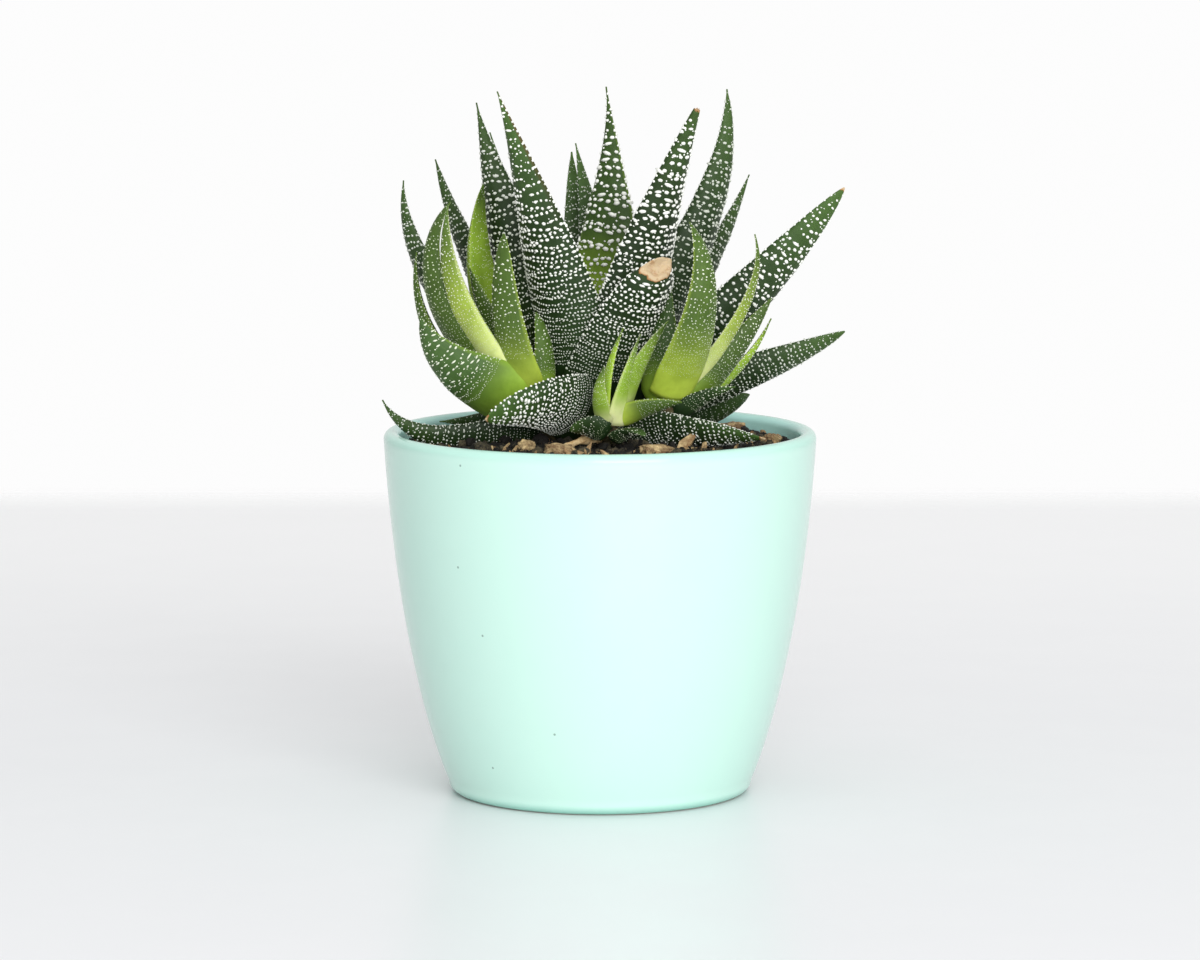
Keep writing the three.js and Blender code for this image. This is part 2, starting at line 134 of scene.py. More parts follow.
ROSETTES = {
    "main": dict(x=-0.5, y=3, top=77, radius=3.6, kind=MATURE, leaves=[
        dict(up=69.5, turn=-63, lean=(17, 58), length=54, width=20, sweep=22, cut=0.345, slant=2.5,
             start=0.19, row=1.25),
        dict(up=72, turn=228, lean=(16, 27), length=63.2, width=19.5, sweep=-4, rust=0.8, thin=0.55,
             start=0.16, row=1.3),
        dict(up=71, turn=-41, lean=(12, 30), length=65, width=20.5, cut=0.08, cap=0.62, start=0.15,
             dash=0.45, reach=2.4),
        dict(up=75, turn=76, lean=(13, -17), length=56, width=19, sweep=-10, late=2.4, taper=1.55,
             skin="heart", row=1.55, dot=1.08, gap=0.3, start=0.3, grow=0.15, inner=1, dot_shade=0),
        dict(up=73, turn=182, lean=(27, 12), length=58.2, width=18.4, taper=1.25, roll=60, dot=0.8,
             dull=0.3),
        dict(up=73, turn=0, lean=(28, -6), length=61.7, width=14, taper=0.9, late=3.3, roll=-50, dot=0.8,
             row=1.25, gap=0.45, dull=0.5),
        dict(up=71, turn=97, lean=(46, 5), length=52.1, width=9.5, sweep=13, taper=0.8, dot=0.5, dull=0.4),
        dict(up=72, turn=79, lean=(28, 17), length=50.8, width=11, sweep=55, taper=1, dot=0.5, dull=0.4),
        dict(up=72.5, turn=143, lean=(27, 22), length=53.6, width=12, roll=30, dot=0.6, dull=0.4),
        dict(up=70.5, turn=162, lean=(45, 19), length=54.8, width=19, roll=32, dot=0.6, row=1.2, dull=0.45),
        dict(up=69, turn=178, lean=(52, -4), length=57.4, width=13.5, taper=0.95, late=2.6, roll=40,
             dot=0.6, row=1.2, dull=0.4),
        dict(up=72, turn=34, lean=(47, 28), length=52, width=15, taper=0.95, roll=-45, dot=0.6, row=1.15,
             gap=0.5, dull=0.5),
        dict(up=69.5, turn=-1, lean=(51, 39), length=60.5, width=13.2, sweep=-6, taper=0.65, roll=-60,
             dry=0.02, row=1.6, dot=0.9),
        dict(up=69, turn=0, lean=(71, 63), length=46, width=10.4, sweep=-3, late=3, taper=0.65, roll=-60,
             dot=0.55, row=1, gap=0.6, dull=0.45),
        dict(up=67.5, turn=-34, lean=(84, 95), length=34, width=17, taper=0.8, roll=-25, dot=0.55, row=1,
             gap=0.6, dry=0.06, dull=0.2),
        dict(up=67.6, turn=187, lean=(96, 26), length=40.5, width=15, sweep=15, late=3.5, roll=38, dot=0.5,
             row=1.05, gap=0.7, dull=0.3),
        dict(up=68.7, turn=-108, lean=(60, 108), length=33, width=14, sweep=-40, taper=0.55, roll=60,
             dot=0.8, row=1, gap=0.4, start=0.3, grow=0.5, dry=0.045),
        dict(up=67.5, turn=18, lean=(85, 62), length=27.7, width=14, late=3, taper=0.6, roll=-50, dot=0.32,
             row=0.9, gap=1.1, stray=0.8, dull=0.7),
        dict(up=67.3, turn=163, lean=(85, 94), length=28, width=12, roll=40, dot=0.32, row=0.9, gap=1.1,
             stray=0.8, dull=0.7),
        dict(up=69, turn=60, lean=(66, 50), length=34, width=12),
        dict(up=70, turn=98, lean=(52, 38), length=42, width=12),
        dict(up=68, turn=132, lean=(72, 60), length=36, width=11),
        dict(up=67.5, turn=82, lean=(82, 84), length=31, width=11),
    ]),
    "left": dict(x=-12, y=-6.5, top=78, radius=1.7, kind=YOUNG, leaves=[
        dict(up=75, turn=230, lean=(42, -4), length=31.2, width=9, sweep=-5, late=0.6, taper=0.55,
             base=0.85, dot=0.55, row=1.35, gap=1.3, dash=0.3),
        dict(up=74, turn=178, lean=(39, -9), length=39.5, width=12, sweep=34, taper=1, late=1.9, roll=10,
             base=0.45, skin="pale"),
        dict(up=74, turn=178, lean=(52, -39), length=43.3, width=9.6, taper=0.8, late=1.9, roll=45,
             gap=1.5, dull=0.3, skin="green"),
        dict(up=76, turn=150, lean=(42, -13), length=39.6, width=12, taper=0.65, dot=0.25, row=1.1,
             gap=1.6, skin="bright"),
        dict(up=76, turn=182, lean=(33, 18), length=24.4, width=8, taper=0.8, roll=40, dot=0.3,
             skin="green"),
        dict(up=73, turn=161, lean=(83, -6), length=38.6, width=9.6, roll=30, skin="green"),
        dict(up=73, turn=197, lean=(66, 16), length=27, width=14.6, taper=0.9, late=2.3, roll=50,
             skin="shaded", row=1.25, dot=0.5, gap=0.8, stray=0.5, dash=0.6, reach=3, start=0.36, grow=0.25),
        dict(up=74, turn=10, lean=(11, -19), length=16, width=5.6, taper=0.6, roll=-60, skin="green",
             dot=0.5, row=1.2, gap=1.3),
    ]),
    "right": dict(x=12.6, y=-8.5, top=77, radius=1.8, kind=YOUNG, leaves=[
        dict(up=75.5, turn=-58, lean=(35, -46), length=34.9, width=10.2, taper=0.85, base=0.95, sweep=8,
             late=2.2, gap=1.3, start=0.16),
        dict(up=73, turn=0, lean=(37, -17), length=35.6, width=5, sweep=-5, taper=0.8, late=3.2, roll=-30,
             skin="pale"),
        dict(up=72.5, turn=8, lean=(49, 34), length=26.6, width=7.5, taper=0.8, roll=-70, skin="green"),
        dict(up=73, turn=24, lean=(76, 28), length=25.2, width=6.5, roll=-30, skin="bright"),
        dict(up=73, turn=200, lean=(2, -12), length=21.5, width=9, taper=0.9, roll=40, skin="shaded"),
        dict(up=71, turn=-13, lean=(46, 80), length=12.5, width=6, taper=0.8, roll=-30, skin="mature"),
    ]),
    "front": dict(x=2, y=-15.5, top=72, radius=1.2, kind=TENDER, leaves=[
        dict(up=70.2, turn=191, lean=(3, -24), length=18, width=4.6, taper=0.7, skin="bright"),
        dict(up=70.2, turn=-24, lean=(8, 23), length=17.3, width=6.2, sweep=15, taper=0.7),
        dict(up=70.2, turn=-2, lean=(14, 39), length=21.3, width=5.6, taper=0.8, roll=-40),
        dict(up=71, turn=-8, lean=(62, 86), length=12.6, width=5.4, taper=0.8, roll=-50, skin="young"),
        dict(up=70.2, turn=230, lean=(42, -32), length=11.5, width=4.4, taper=0.8),
        dict(up=68.6, turn=192, lean=(50, 120), length=7.2, width=7, taper=0.5, roll=40, skin="mature",
             start=0.1),
        dict(up=67.6, turn=-38, lean=(40, 124), length=7.6, width=5.5, taper=0.5, skin="mature", start=0.1),
    ]),
}

SPINE_STEPS = 96
LEAF_ROOT = 0.8  # where a leaf starts, as a share of the stem's radius
CLASP = 0.14  # the share of the length over which a leaf widens from its clasping base
THICKNESS = 0.38  # of the widest width
THICK_TAPER = 0.85  # how fast it gets thinner
OUTER_SHARE = 0.68  # of the thickness, on the side that faces away from the stem
CUP = 0.16  # how far the margins bend towards the stem
TIP = 0.16  # half width of a tip
TIP_DEPTH = TIP * 1.6  # its thickness
MARGIN_WAVE = 0.035  # how much the width waves, as a share of it
KEEL = 0.06  # how far the keel along the outer face stands out, as a share of the depth
KEEL_WIDTH = 0.22  # as a share of half the width
DENT = 0.3  # the deepest that a dent can be
DENT_SHARE = 0.06  # its depth as a share of half the width, where that is less
LENS = 1.2  # above 1, the section has sharper margins than an ellipse
SLANT_TURN = math.radians(40)  # how far round the leaf from its outer face a slanting cut is lowest
TEARS = 2.6  # the larger, the more ragged the edge of a slanting cut
STUMP = 0.34  # how much narrower a leaf is at a slanting cut than just below it
STUMP_LENGTH = 0.1  # the share of the length over which it narrows
FEWEST_RINGS = 24  # of faces along a leaf
RINGS_PER_MM = 1.2
SCAR_RINGS = 5  # that close a cut end, where a tip has one
SMALL_DOTS = 0.48  # size of the small tubercles between the rows, as a share of the large ones

# ---- stems and roots ----
CROWN_BOTTOM = 54  # the main stem goes this deep into the soil
CROWN_NECK = 8  # height over which it narrows at the top
ROOT_RADIUS = 1.1
ROOT_START = 4  # above the crown's underside
ROOT_BENDS = 0.45, 0.85  # shares of a root's reach at which it starts and ends its bend
ROOTS = [(30, 24, 28), (110, 20, 22), (195, 25, 32), (300, 22, 20)]  # azimuth, reach and lowest height
RUNNER_START = 0.4  # share of the main stem's radius
RUNNER_HEIGHT = 1.2  # above the soil's edge
RUNNER_RISE = 0.4  # by the middle of the way, and outwards at the top
RUNNER_SAG = 0.5  # below the middle height, at the bend

# ---- bark and dry bits: at is the middle, size the length, width and thickness ----
CHIPS = {
    "bark_chip_1": dict(at=(-7.2, -21, 65.8), size=(6, 4, 3.2), turn=10, tilt=8),
    "bark_chip_2": dict(at=(-17.3, 1, 66), size=(5, 3.4, 3), turn=-35, tilt=-12),
    "bark_chip_3": dict(at=(-13.4, -14, 65.7), size=(4, 3, 3), turn=60, tilt=10),
    "bark_chip_4": dict(at=(10.5, -20.5, 65.8), size=(7, 4, 2.8), turn=25, tilt=6),
    "bark_chip_5": dict(at=(31.8, 0, 65.3), size=(5, 3.4, 2.8), turn=70, tilt=10),
    "bark_chip_6": dict(at=(25, 19, 65.2), size=(6.4, 4, 3), turn=130, tilt=5),
    "bark_chip_7": dict(at=(-20, 23, 65.2), size=(6, 4, 3), turn=40, tilt=-6),
}
STALK_RADIUS = 0.55
STALK = [(-7.4, -17.5, 66), (-3.4, -13.6, 66.9), (-0.4, -12.2, 67), (1.6, -9, 66)]

# ---- the stage, in metres ----
TABLE_REACH = 2.5  # half the width of the table
TABLE_FADE = 0.04, 0.015  # the table fades from this far before its far edge to this far past it
TABLE_MARGIN = 0.02  # of the table past its far edge
WINDOW_SIZE = 1.1
WINDOW_AZIMUTH = math.radians(15)  # to the right of the front
WINDOW_DISTANCE = 1.5
WINDOW_HEIGHT = 0.65
WINDOW_AIM = 0.07  # height of the point that the light falls on squarely

# ---- colours that shade the ones a user would change ----
LEAF_SHADE = srgb(0xB9C2A6)
LEAF_RUST = srgb(0x5E4026)
SCAR_EDGE = srgb(0xA5764A)
TUBERCLE_SHADE = srgb(0xC9CDBE)
SHADED_TUBERCLE = srgb(0x647A50)  # painted shade for the tubercles of mature leaves that lie in shade or crowd at the base
# the glaze where it pools, and painted contact shade at the foot
POOLED_GLAZE_AND_SHADE = srgb(0x8CCFBE)
# painted light on the glaze inside the pot
INSIDE_PAINTED_LIGHT = srgb(0xC8FFF6)
GLAZE_SPECK = srgb(0x4E6B63)
GLAZE_SCRATCH = srgb(0x9CC4BA)
CLAY_SHADE = srgb(0xC9BFAF)
SOIL_SHADE = srgb(0x120C09)
FIBRE_SHADE = srgb(0x7A5634)
BARK_SHADE = srgb(0x5A3C24)
STALK_SHADE = srgb(0xC09C6A)
STEM_SKIN = srgb(0x6B6A42)
STEM_SHADE = srgb(0x4A3E28)
TABLE_SHADE = srgb(0xDFE0E3)
WHITE = srgb(0xFFFFFF)


# ---- what a user would change ----
def colour_prop(name, owner, code):
    return bpy.props.FloatVectorProperty(
        name=name, description=f"Colour of {owner}", subtype="COLOR", size=4, min=0, max=1,
        default=srgb(code),
    )


def length_prop(name, description, value):
    return bpy.props.FloatProperty(name=name, description=description, unit="LENGTH", default=value)


def millimetres(length):
    """A length of the settings, which hold metres to seven digits."""
    return round(length / MM, 4)


class HaworthiaPot(bpy.types.PropertyGroup):
    wall: length_prop("Wall", "Thickness of the pot's wall", WALL * MM)
    glaze: colour_prop("Glaze", "the glaze", 0xC6E9DD)
    glaze_deep: colour_prop("Deep glaze", "the glaze where it pools", 0xBBE9DC)
    clay: colour_prop("Clay", "the unglazed foot", 0xE2DACB)


class HaworthiaLeaves(bpy.types.PropertyGroup):
    sides: bpy.props.IntProperty(name="Sides", description="Faces round a leaf", default=36, min=12)
    dot_height: length_prop("Tubercle height", "How far a large tubercle stands out", 0.32 * MM)
    tubercle: colour_prop("Tubercles", "the tubercles on mature leaves", 0xFAFBF5)
    young_tubercle: colour_prop("Young tubercles", "the tubercles on the offsets", 0xEBF0DA)
    mature: colour_prop("Mature leaf", "the mature leaves at their middle", 0x263A1C)
    mature_tip: colour_prop("Mature tip", "the mature leaves at their tips", 0x44602C)
    # painted shade: the mature leaves are darker at their bases, where they crowd round the stem
    mature_shaded_base: colour_prop("Mature base", "the mature leaves at their bases", 0x172B10)
    shaded: colour_prop("Shaded leaf", "the offsets' darkest leaves", 0x456230)
    leafy: colour_prop("Green leaf", "the offsets' green leaves", 0x4D672A)
    bright: colour_prop("Bright leaf", "the offsets' bright leaves", 0x94B63A)
    yellow: colour_prop("Pale leaf", "the offsets' yellow-green leaves", 0xBAD04C)
    pale: colour_prop("Pale base", "the bases that the light doesn't reach", 0xDFE6A4)
    scar: colour_prop("Scar", "dried leaf ends", 0xCCB694)


class HaworthiaSoil(bpy.types.PropertyGroup):
    crumbs: bpy.props.IntProperty(name="Crumbs", description="Crumbs on the soil", default=2400, min=0)
    crumb_size: length_prop("Crumb size", "Usual radius of a crumb", 0.42 * MM)
    soil: colour_prop("Soil", "the moist soil", 0x14130D)
    crumb: colour_prop("Crumb", "the dry crumbs", 0x5A523C)
    bark: colour_prop("Bark", "the bark chips", 0xD6BE8C)
    stalk: colour_prop("Stalk", "the dry stalk", 0xEDD8A8)


class HaworthiaStage(bpy.types.PropertyGroup):
    table: colour_prop("Table", "the table", 0xE6E7E9)
    table_back: length_prop("Table's far edge", "Distance from the pot to the table's far edge", 0.43)
    camera_distance: length_prop("Camera distance", "From the camera to the point it looks at", 1.0)
    camera_aim: length_prop("Aim height", "Height of the point that the camera looks at", 0.058)
    camera_angle: bpy.props.FloatProperty(
        name="Camera angle", description="How far the camera looks down", unit="ROTATION",
        default=math.radians(7.2),
    )
    lens: bpy.props.FloatProperty(name="Lens", description="Focal length", unit="CAMERA", default=162)
    sky: bpy.props.FloatProperty(
        name="Surround", description="Strength of the light all round", default=0.85
    )
    window: bpy.props.FloatProperty(
        name="Window", description="Power of the window light", unit="POWER", default=20
    )


# ---- shaders ----
class Graph:
    """Adds nodes to a tree and joins them. A value that is a socket is linked, any other is set."""

    def __init__(self, tree):
        self.tree = tree

    def add(self, kind, inputs=None, **settings):
        node = self.tree.nodes.new(kind)
        for key, value in settings.items():
            setattr(node, key, value)
        for key, value in (inputs or {}).items():
            self.put(node, key, value)
        return node

    def put(self, node, key, value):
        if isinstance(value, bpy.types.NodeSocket):
            self.tree.links.new(value, node.inputs[key])
        else:
            node.inputs[key].default_value = value

    def math(self, operation, first, second=0.0):
        return self.add("ShaderNodeMath", {0: first, 1: second}, operation=operation).outputs[0]

    def times(self, first, second):
        return self.math("MULTIPLY", first, second)

    def plus(self, first, second):
        return self.math("ADD", first, second)

    def most(self, first, second):
        return self.math("MAXIMUM", first, second)

    def blend(self, factor, first, second, how="MIX"):
        inputs = {0: factor, 6: first, 7: second}
        return self.add("ShaderNodeMix", inputs, data_type="RGBA", blend_type=how).outputs[2]

    def span(self, value, low, high, to_low=0.0, to_high=1.0):
        """value from low to high, eased into to_low to to_high."""
        inputs = {0: value, 1: low, 2: high, 3: to_low, 4: to_high}
        return self.add("ShaderNodeMapRange", inputs, interpolation_type="SMOOTHSTEP").outputs[0]

    def noise(self, vector, scale, detail=3.0, roughness=0.5):
        inputs = {"Vector": vector, "Scale": scale, "Detail": detail, "Roughness": roughness}
        return self.add("ShaderNodeTexNoise", inputs).outputs[0]

    def stretched(self, vector, scale):
        return self.add("ShaderNodeMapping", {"Vector": vector, "Scale": scale}).outputs[0]

    def attribute(self, name):
        return self.add("ShaderNodeAttribute", attribute_name=name).outputs["Fac"]

    def place(self):
        return self.add("ShaderNodeTexCoord").outputs["Object"]

    def group(self, tree, **values):
        node = self.add("ShaderNodeGroup", node_tree=tree)
        for name, value in values.items():
            self.put(node, name.replace("_", " ").capitalize(), value)
        return node.outputs


def effect(name, inputs, outputs, fill):
    """A shader node group that several materials use, made once. fill takes the graph and its inputs, and
    gives what each output is."""
    if name in bpy.data.node_groups:
        return bpy.data.node_groups[name]
    tree = bpy.data.node_groups.new(name, "ShaderNodeTree")
    for label, kind in inputs.items():
        tree.interface.new_socket(label, in_out="INPUT", socket_type=kind)
    for label, kind in outputs.items():
        tree.interface.new_socket(label, in_out="OUTPUT", socket_type=kind)
    graph = Graph(tree)
    made = fill(graph, graph.add("NodeGroupInput").outputs)
    end = graph.add("NodeGroupOutput")
    for label, value in made.items():
        graph.put(end, label, value)
    return tree


NUMBER, COLOUR, VECTOR = "NodeSocketFloat", "NodeSocketColor", "NodeSocketVector"
SKIN_LAYERS = "along", "across", "tone", "dry", "rust"  # numbers that each point of a leaf's skin carries


def mottle():
    """Blotches of a second colour, large and small together."""

    def fill(graph, given):
        broad = graph.noise(given["Vector"], given["Scale"], 4.0, 0.6)
        fine = graph.noise(given["Vector"], graph.times(given["Scale"], 6.0), 2.0)
        mixed = graph.plus(graph.times(broad, 0.7), graph.times(fine, 0.3))
        share = graph.times(graph.span(mixed, 0.35, 0.65), given["Amount"])
        return {"Colour": graph.blend(share, given["Colour"], given["Second"]), "Mask": mixed}

    inputs = {"Vector": VECTOR, "Scale": NUMBER, "Colour": COLOUR, "Second": COLOUR, "Amount": NUMBER}
    return effect("Mottle", inputs, {"Colour": COLOUR, "Mask": NUMBER}, fill)


def fibres():
    """Fine lines that run along the first axis of the vector."""

    def fill(graph, given):
        lines = graph.noise(graph.stretched(given["Vector"], (0.06, 1.0, 1.0)), given["Scale"], 5.0, 0.65)
        return {"Height": lines, "Mask": graph.span(lines, 0.42, 0.6)}

    return effect("Fibres", {"Vector": VECTOR, "Scale": NUMBER}, {"Height": NUMBER, "Mask": NUMBER}, fill)


def leaf_skin():
    """The colour, gloss and relief of a leaf, from base to tip, with its end dried where dry says so."""

    def fill(graph, given):
        along, across = given["Along"], given["Across"]
        low = graph.span(along, given["Base from"], given["Base to"])
        high = graph.span(along, given["Tip from"], 1.0)
        colour = graph.blend(low, given["Base"], given["Middle"])
        colour = graph.blend(high, colour, given["Tip"])
        # darker blotches, and fine lines and margins in the colour of the base
        blotch = graph.noise(given["Vector"], 260.0, 4.0, 0.6)
        colour = graph.blend(graph.span(blotch, 0.3, 0.75, 0.0, 0.55), colour, given["Shade"], "MULTIPLY")
        line = graph.add("ShaderNodeCombineXYZ", {0: graph.times(across, 16.0), 1: along}).outputs[0]
        lines = graph.noise(line, 3.0, 3.0, 0.6)
        colour = graph.blend(graph.span(lines, 0.55, 0.8, 0.0, 0.25), colour, given["Line"])
        edge = graph.span(graph.math("ABSOLUTE", across), 0.9, 1.0)
        colour = graph.blend(graph.times(edge, 0.3), colour, given["Line"])
        # browned margins
        rust = graph.times(graph.times(edge, high), given["Rust"])
        colour = graph.blend(rust, colour, LEAF_RUST)
        # each leaf a little darker or lighter than the others
        toned = graph.plus(0.72, graph.times(given["Tone"], 0.56))
        tone = graph.add("ShaderNodeCombineColor", {0: toned, 1: toned, 2: toned}).outputs[0]
        colour = graph.blend(1.0, colour, tone, "MULTIPLY")
        # a dried end with a ragged darker border
        crust = graph.noise(given["Vector"], 600.0, 5.0, 0.7)
        ragged = graph.plus(given["Dry"], graph.times(graph.math("SUBTRACT", crust, 0.5), 1.6))
        dried = graph.span(ragged, 0.42, 0.5)
        outline = graph.span(ragged, 0.5, 0.95, 1.0, 0.0)
        border = graph.most(outline, graph.span(crust, 0.48, 0.66, 0.0, 0.7))
        scar = graph.blend(border, given["Scar"], given["Scar edge"])
        colour = graph.blend(dried, colour, scar)
        soft = graph.plus(given["Roughness"], graph.times(graph.math("SUBTRACT", blotch, 0.5), 0.2))
        rough = graph.most(soft, graph.times(dried, 0.85))
        relief = graph.plus(graph.times(lines, 0.25), graph.times(blotch, 0.35))
        relief = graph.plus(relief, graph.times(graph.times(crust, dried), 1.6))
        return {"Colour": colour, "Roughness": rough, "Height": relief}

    inputs = {
        "Vector": VECTOR, "Along": NUMBER, "Across": NUMBER, "Tone": NUMBER, "Dry": NUMBER,
        "Base": COLOUR, "Middle": COLOUR, "Tip": COLOUR, "Shade": COLOUR, "Line": COLOUR,
        "Scar": COLOUR, "Scar edge": COLOUR,
        "Base from": NUMBER, "Base to": NUMBER, "Tip from": NUMBER, "Rust": NUMBER, "Roughness": NUMBER,
    }
    return effect("Leaf skin", inputs, {"Colour": COLOUR, "Roughness": NUMBER, "Height": NUMBER}, fill)


def new_material(name):
    """An empty material, its graph and its Principled shader."""
    material = bpy.data.materials.new(name)
    material.use_nodes = True
    material.node_tree.nodes.clear()
    graph = Graph(material.node_tree)
    shader = graph.add("ShaderNodeBsdfPrincipled")
    graph.add("ShaderNodeOutputMaterial", {"Surface": shader.outputs[0]})
    return material, graph, shader


def finish_shader(graph, shader, colour, roughness, height, depth):
    """Joins a colour, a roughness and a relief of a real depth in metres to a shader."""
    bump = graph.add("ShaderNodeBump", {"Height": height, "Distance": depth, "Strength": 1.0})
    graph.put(shader, "Base Color", colour)
    graph.put(shader, "Roughness", roughness)
    graph.put(shader, "Normal", bump.outputs[0])


SKINS = {
    # the settings with its colours from base to tip, the shares of the length where the base's colour starts
    # to go over, where it has gone over and where the tip's starts, and how much light it lets through
    # the mature leaves go darker towards the base as painted shade, where they crowd
    "mature": dict(colours=("mature_shaded_base", "mature", "mature_tip"), meet=(0.08, 0.3, 0.55), clear=0.06),
    "heart": dict(colours=("bright", "mature_tip", "mature_tip"), meet=(0.3, 0.55, 0.7), clear=0.12),
    "young": dict(colours=("yellow", "leafy", "leafy"), meet=(0, 0.5, 0.5), clear=0.2),
    "pale": dict(colours=("pale", "yellow", "leafy"), meet=(0.08, 0.6, 0.12), clear=0.25),
    "bright": dict(colours=("yellow", "bright", "leafy"), meet=(0.08, 0.4, 0.75), clear=0.25),
    "green": dict(colours=("bright", "leafy", "leafy"), meet=(0.08, 0.4, 0.6), clear=0.15),
    "shaded": dict(colours=("bright", "shaded", "shaded"), meet=(0.1, 0.5, 0.6), clear=0.1),
    "tender": dict(colours=("pale", "bright", "leafy"), meet=(0.08, 0.4, 0.55), clear=0.25),
}


def leaf_material(skin, settings):
    """The skin of one kind of leaf, made once."""
    name = f"{skin}_leaf_skin"
    if name in bpy.data.materials:
        return bpy.data.materials[name]
    look = SKINS[skin]
    base, middle, tip = (getattr(settings, colour) for colour in look["colours"])
    base_from, base_to, tip_from = look["meet"]
    material, graph, shader = new_material(name)
    made = graph.group(
        leaf_skin(), vector=graph.place(), **{layer: graph.attribute(layer) for layer in SKIN_LAYERS},
        base=base, middle=middle, tip=tip, shade=LEAF_SHADE, line=base, scar=settings.scar,
        scar_edge=SCAR_EDGE, base_from=base_from, base_to=base_to, tip_from=tip_from, roughness=0.5,
    )
    finish_shader(graph, shader, made["Colour"], made["Roughness"], made["Height"], 0.12 * MM)
    graph.put(shader, "Specular IOR Level", 0.22)
    graph.put(shader, "Subsurface Weight", look["clear"])
    graph.put(shader, "Subsurface Radius", (0.8, 1.0, 0.3))
    graph.put(shader, "Subsurface Scale", 2 * MM)
    return material


def tubercle_material(name, colour, shade_colour):
    """The hard white tubercles, a little greyer in places, and painted in shade, a darker green, where their
    leaf lies in shade or crowds at its base.
    """
    if name in bpy.data.materials:
        return bpy.data.materials[name]
    material, graph, shader = new_material(name)
    place = graph.place()
    # painted shade: the tubercles turn a darker green on leaves in shade and at crowded bases
    colour = graph.blend(graph.attribute("dot_shade"), colour, shade_colour)
    made = graph.group(
        mottle(), vector=place, scale=700.0, colour=colour, second=TUBERCLE_SHADE, amount=0.35
    )
    grain = graph.noise(place, 5000.0)
    finish_shader(graph, shader, made["Colour"], graph.span(grain, 0.2, 0.8, 0.4, 0.6), grain, 0.02 * MM)
    return material


def glaze_material(settings):
    """A mint glaze over a pale clay, bare under the foot, with a few dark specks and hair scratches."""
    material, graph, shader = new_material("mint_glaze")
    place = graph.place()
    deep = graph.group(
        mottle(), vector=place, scale=28.0, colour=settings.glaze, second=settings.glaze_deep, amount=0.12
    )
    height = graph.add("ShaderNodeSeparateXYZ", {0: place}).outputs[2]
    # deeper where it pools at the foot and on the lip, and at the foot it is painted contact shade as well
    foot = graph.span(height, 0.0, FOOT_CORNER * MM, 0.8, 0.0)
    lip = graph.span(height, *(edge * MM for edge in LIP_SHADE), 0.0, 0.25)
    colour = graph.blend(graph.most(foot, lip), deep["Colour"], POOLED_GLAZE_AND_SHADE)
    # painted light: lighter and bluer inside the pot, above the soil
    level = {0: place, 1: (1.0, 1.0, 0.0)}
    across = graph.add("ShaderNodeVectorMath", level, operation="MULTIPLY").outputs[0]
    radius = graph.add("ShaderNodeVectorMath", {0: across}, operation="LENGTH").outputs["Value"]
    within = graph.span(radius, *(edge * MM for edge in INNER_RADII), 1.0, 0.0)
    inside = graph.times(within, graph.span(height, *(edge * MM for edge in INNER_HEIGHTS)))
    colour = graph.blend(inside, colour, INSIDE_PAINTED_LIGHT)
    # dark specks and hair scratches
    speck = 0.0
    for at in SPECKS:
        away = graph.add("ShaderNodeVectorMath", {0: place, 1: Vector(at) * MM}, operation="DISTANCE")
        near = graph.span(away.outputs["Value"], SPECK_RADIUS * 0.6 * MM, SPECK_RADIUS * MM, 1.0, 0.0)
        speck = graph.most(speck, near)
    colour = graph.blend(graph.times(speck, 0.6), colour, GLAZE_SPECK)
    scratches = graph.noise(graph.stretched(place, (1.0, 1.0, 4.0)), 240.0, 6.0, 0.75)
    worn = graph.times(graph.span(scratches, 0.735, 0.76), 0.3)
    colour = graph.blend(worn, colour, GLAZE_SCRATCH)
    # bare clay on the flat underside
    bare = graph.span(height, 0.12 * MM, 0.2 * MM, 1.0, 0.0)
    clay = graph.group(
        mottle(), vector=place, scale=400.0, colour=settings.clay, second=CLAY_SHADE, amount=0.8
    )
    colour = graph.blend(bare, colour, clay["Colour"])
    waves = graph.noise(place, 60.0, 2.0)
    gloss = graph.plus(graph.span(waves, 0.3, 0.7, 0.13, 0.2), graph.times(worn, 0.4))
    rough = graph.most(gloss, graph.times(bare, 0.8))
    relief = graph.math("SUBTRACT", graph.times(waves, 0.6), graph.times(speck, 0.5))
    finish_shader(graph, shader, colour, rough, relief, 0.04 * MM)
    graph.put(shader, "Specular IOR Level", 0.3)
    graph.put(shader, "Coat Weight", 0.2)
    graph.put(shader, "Coat Roughness", 0.3)
    return material


def earth_material(name, colour, second, scale):
    """Crumbly ground or dry plant matter in two colours."""
    material, graph, shader = new_material(name)
    place = graph.place()
    made = graph.group(mottle(), vector=place, scale=scale, colour=colour, second=second, amount=1.0)
    grain = graph.noise(place, scale * 5, 5.0, 0.7)
    finish_shader(graph, shader, made["Colour"], graph.span(grain, 0.3, 0.7, 0.75, 0.98), grain, 0.3 * MM)
    return material


def woody_material(name, colour, second, scale):
    """Bark, a dry stalk or a root, with fine fibres that all run along X."""
    material, graph, shader = new_material(name)
    place = graph.place()
    lines = graph.group(fibres(), vector=place, scale=scale)
    base = graph.group(mottle(), vector=place, scale=450.0, colour=colour, second=second, amount=0.9)
    colour = graph.blend(graph.times(lines["Mask"], 0.6), base["Colour"], second)
    rough = graph.span(base["Mask"], 0.3, 0.7, 0.7, 0.95)
    finish_shader(graph, shader, colour, rough, lines["Height"], 0.2 * MM)
    return material


